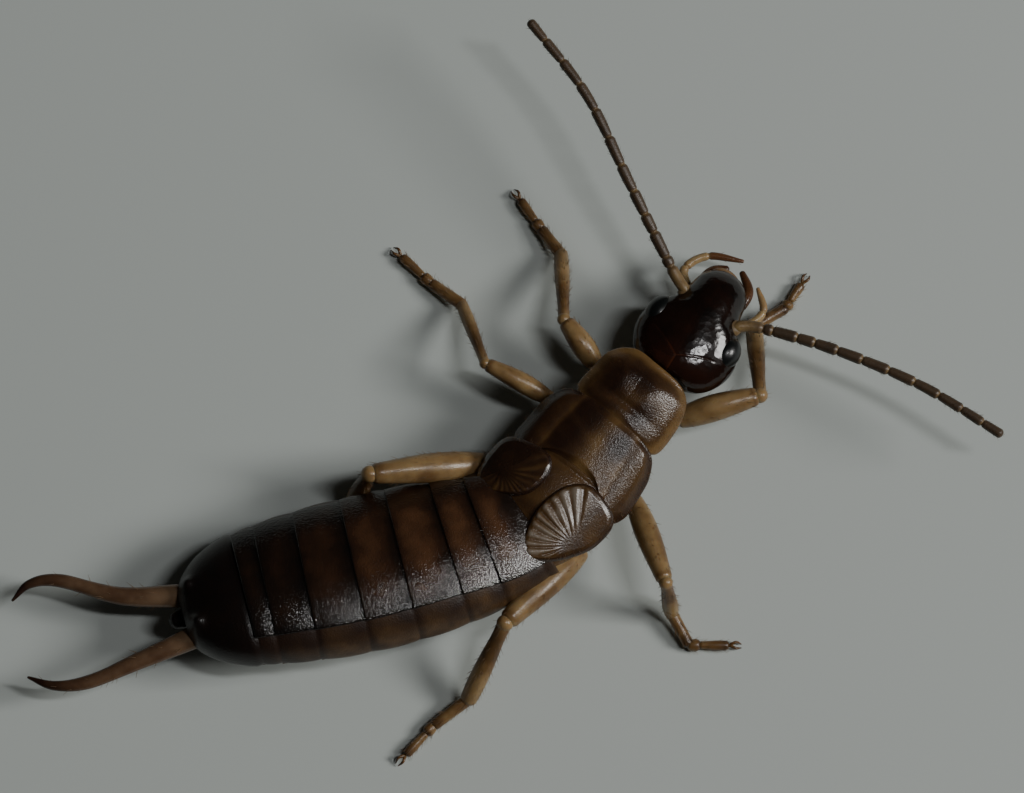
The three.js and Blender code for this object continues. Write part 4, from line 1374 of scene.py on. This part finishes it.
def give_uv(mesh):
    """Lays each bristle on the sheet as a small patch at its root's place."""
    spots = {}
    for key in ("flat_u", "flat_v"):
        values = np.zeros(len(mesh.vertices), np.float32)
        mesh.attributes[key].data.foreach_get("value", values)
        spots[key] = values
    corner_vertex = np.zeros(len(mesh.loops), np.int32)
    mesh.loops.foreach_get("vertex_index", corner_vertex)
    place = corner_vertex % STRAND_POINTS / STRAND_POINTS
    round_root = ROOT_PATCH * np.stack([np.cos(2 * math.pi * place), np.sin(2 * math.pi * place)], -1) / 2
    flat = np.stack([spots["flat_u"][corner_vertex], spots["flat_v"][corner_vertex]], -1) + round_root
    layer = mesh.uv_layers.new(name="OFBake")
    layer.data.foreach_set("uv", flat.astype(np.float32).ravel())


def grow_bristles(name, forms, per_square_mm, length_mm, lean, seed):
    host = into_scene("bristle_host", mesh_of("bristle_host", tiled(forms)))
    grower = host.modifiers.new("bristles", "NODES")
    grower.node_group = BRISTLE_TREE
    for label, value in zip(BRISTLE_INPUTS, (per_square_mm, length_mm, lean, seed)):
        grower[BRISTLE_SOCKETS[label]] = value
    graph = bpy.context.evaluated_depsgraph_get()
    mesh = bpy.data.meshes.new_from_object(host.evaluated_get(graph))
    bpy.data.objects.remove(host)
    mesh.name = name
    give_uv(mesh)
    mesh.polygons.foreach_set("use_smooth", [True] * len(mesh.polygons))
    register(into_scene(name, mesh))


grow_bristles(
    "leg_bristles", leg_skins,
    per_square_mm=120, length_mm=0.1, lean=1.6, seed=3,
)
grow_bristles(
    "feeler_bristles", list(feelers.values()),
    per_square_mm=160, length_mm=0.06, lean=1.4, seed=5,
)
grow_bristles(
    "pincer_bristles", list(pincers.values()),
    per_square_mm=14, length_mm=0.12, lean=1.0, seed=7,
)
grow_bristles(
    "palp_bristles", list(palps.values()),
    per_square_mm=110, length_mm=0.06, lean=1.4, seed=9,
)
grow_bristles(
    "shield_bristles", [shield, second, *hind_pads.values()],
    per_square_mm=260, length_mm=0.07, lean=0.9, seed=11,
)

# %% [markdown]
# ## Floor, light and camera
# A pale floor and broad lamps keep the forms readable. The animal is seen from almost straight above, with
# its main light low on the right of the picture and a small high lamp that draws the silvery sheen on
# the plates. The camera has a long lens, because a close portrait of an insect is nearly free of
# perspective.

# %% Floor
FLOOR_HALF = 0.3
FLOOR_COLOUR = (0.5, 0.54, 0.52, 1)
floor_mesh = bpy.data.meshes.new("pale_floor")
corners = [(x * FLOOR_HALF, y * FLOOR_HALF, 0) for x, y in ((-1, -1), (1, -1), (1, 1), (-1, 1))]
floor_mesh.from_pydata(corners, [], [[0, 1, 2, 3]])
floor_paint, floor_tree, floor_shader = new_material("floor_paint")
fill_inputs(floor_tree, floor_shader, {"Base Color": FLOOR_COLOUR, "Roughness": 0.7})
floor_mesh.materials.append(floor_paint)
into_scene("pale_floor", floor_mesh)
print("floor, m:", 2 * FLOOR_HALF)

# %% Camera
TURN = math.radians(32)
TILT = math.radians(12)
DISTANCE_MM = 150
FOCUS_HEIGHT = 1.0
IMAGE_WIDTH = 1024
PIXELS_PER_MM = 1 / 0.0171
SENSOR_MM = 36
CLIP = (0.01, 5)

right = Vector((math.cos(TURN), -math.sin(TURN), 0))
back = Vector((-math.sin(TURN) * math.sin(TILT), -math.cos(TURN) * math.sin(TILT), math.cos(TILT)))
above = back.cross(right)
target = Vector(in_frame([0, 0, FOCUS_HEIGHT]))
camera_data = bpy.data.cameras.new("camera")
camera = into_scene("camera", camera_data)
rotation = Matrix((right, above, back)).transposed()
camera.matrix_world = Matrix.Translation(target + DISTANCE_MM * MM * back) @ rotation.to_4x4()
camera_data.sensor_width = SENSOR_MM
camera_data.lens = SENSOR_MM * DISTANCE_MM * PIXELS_PER_MM / IMAGE_WIDTH
camera_data.clip_start, camera_data.clip_end = CLIP
bpy.context.scene.camera = camera
print("lens, mm:", round(camera_data.lens, 1))

# %% Lamps
LAMP_DISTANCE = 0.2
WORLD_LIGHT = {"Color": (0.8, 0.78, 0.72, 1), "Strength": 0.02}
picture_down = Vector((-math.sin(TURN), -math.cos(TURN), 0))


def lamp(name, lean_right, lean_down, size, power, colour):
    """An area lamp, leant from the vertical by two angles in degrees, to the right and down the picture."""
    data = bpy.data.lights.new(name, "AREA")
    data.shape = "RECTANGLE"
    data.size, data.size_y = size
    data.energy = power
    data.color = colour
    way = right * math.tan(math.radians(lean_right)) + picture_down * math.tan(math.radians(lean_down))
    away = (way + Vector((0, 0, 1))).normalized()
    facing = away.to_track_quat("Z", "Y").to_matrix().to_4x4()
    into_scene(name, data).matrix_world = Matrix.Translation(target + away * LAMP_DISTANCE) @ facing
    print(f"{name}: {power} W")


lamp("key_lamp", 54, 4, size=(0.06, 0.06), power=0.24, colour=(1.0, 0.99, 0.96))
lamp("sheen_lamp", 22, 3, size=(0.012, 0.05), power=0.085, colour=(1.0, 1.0, 1.0))
world = bpy.data.worlds.new("studio")
world.use_nodes = True
fill_inputs(world.node_tree, world.node_tree.nodes["Background"], WORLD_LIGHT)
bpy.context.scene.world = world

# %% [markdown]
# ## Last count
# The script ends by printing how many pieces and faces it made.

# %% Count the pieces
print("pieces:", len(PIECES), "faces:", sum(len(piece.data.polygons) for piece in PIECES.values()))
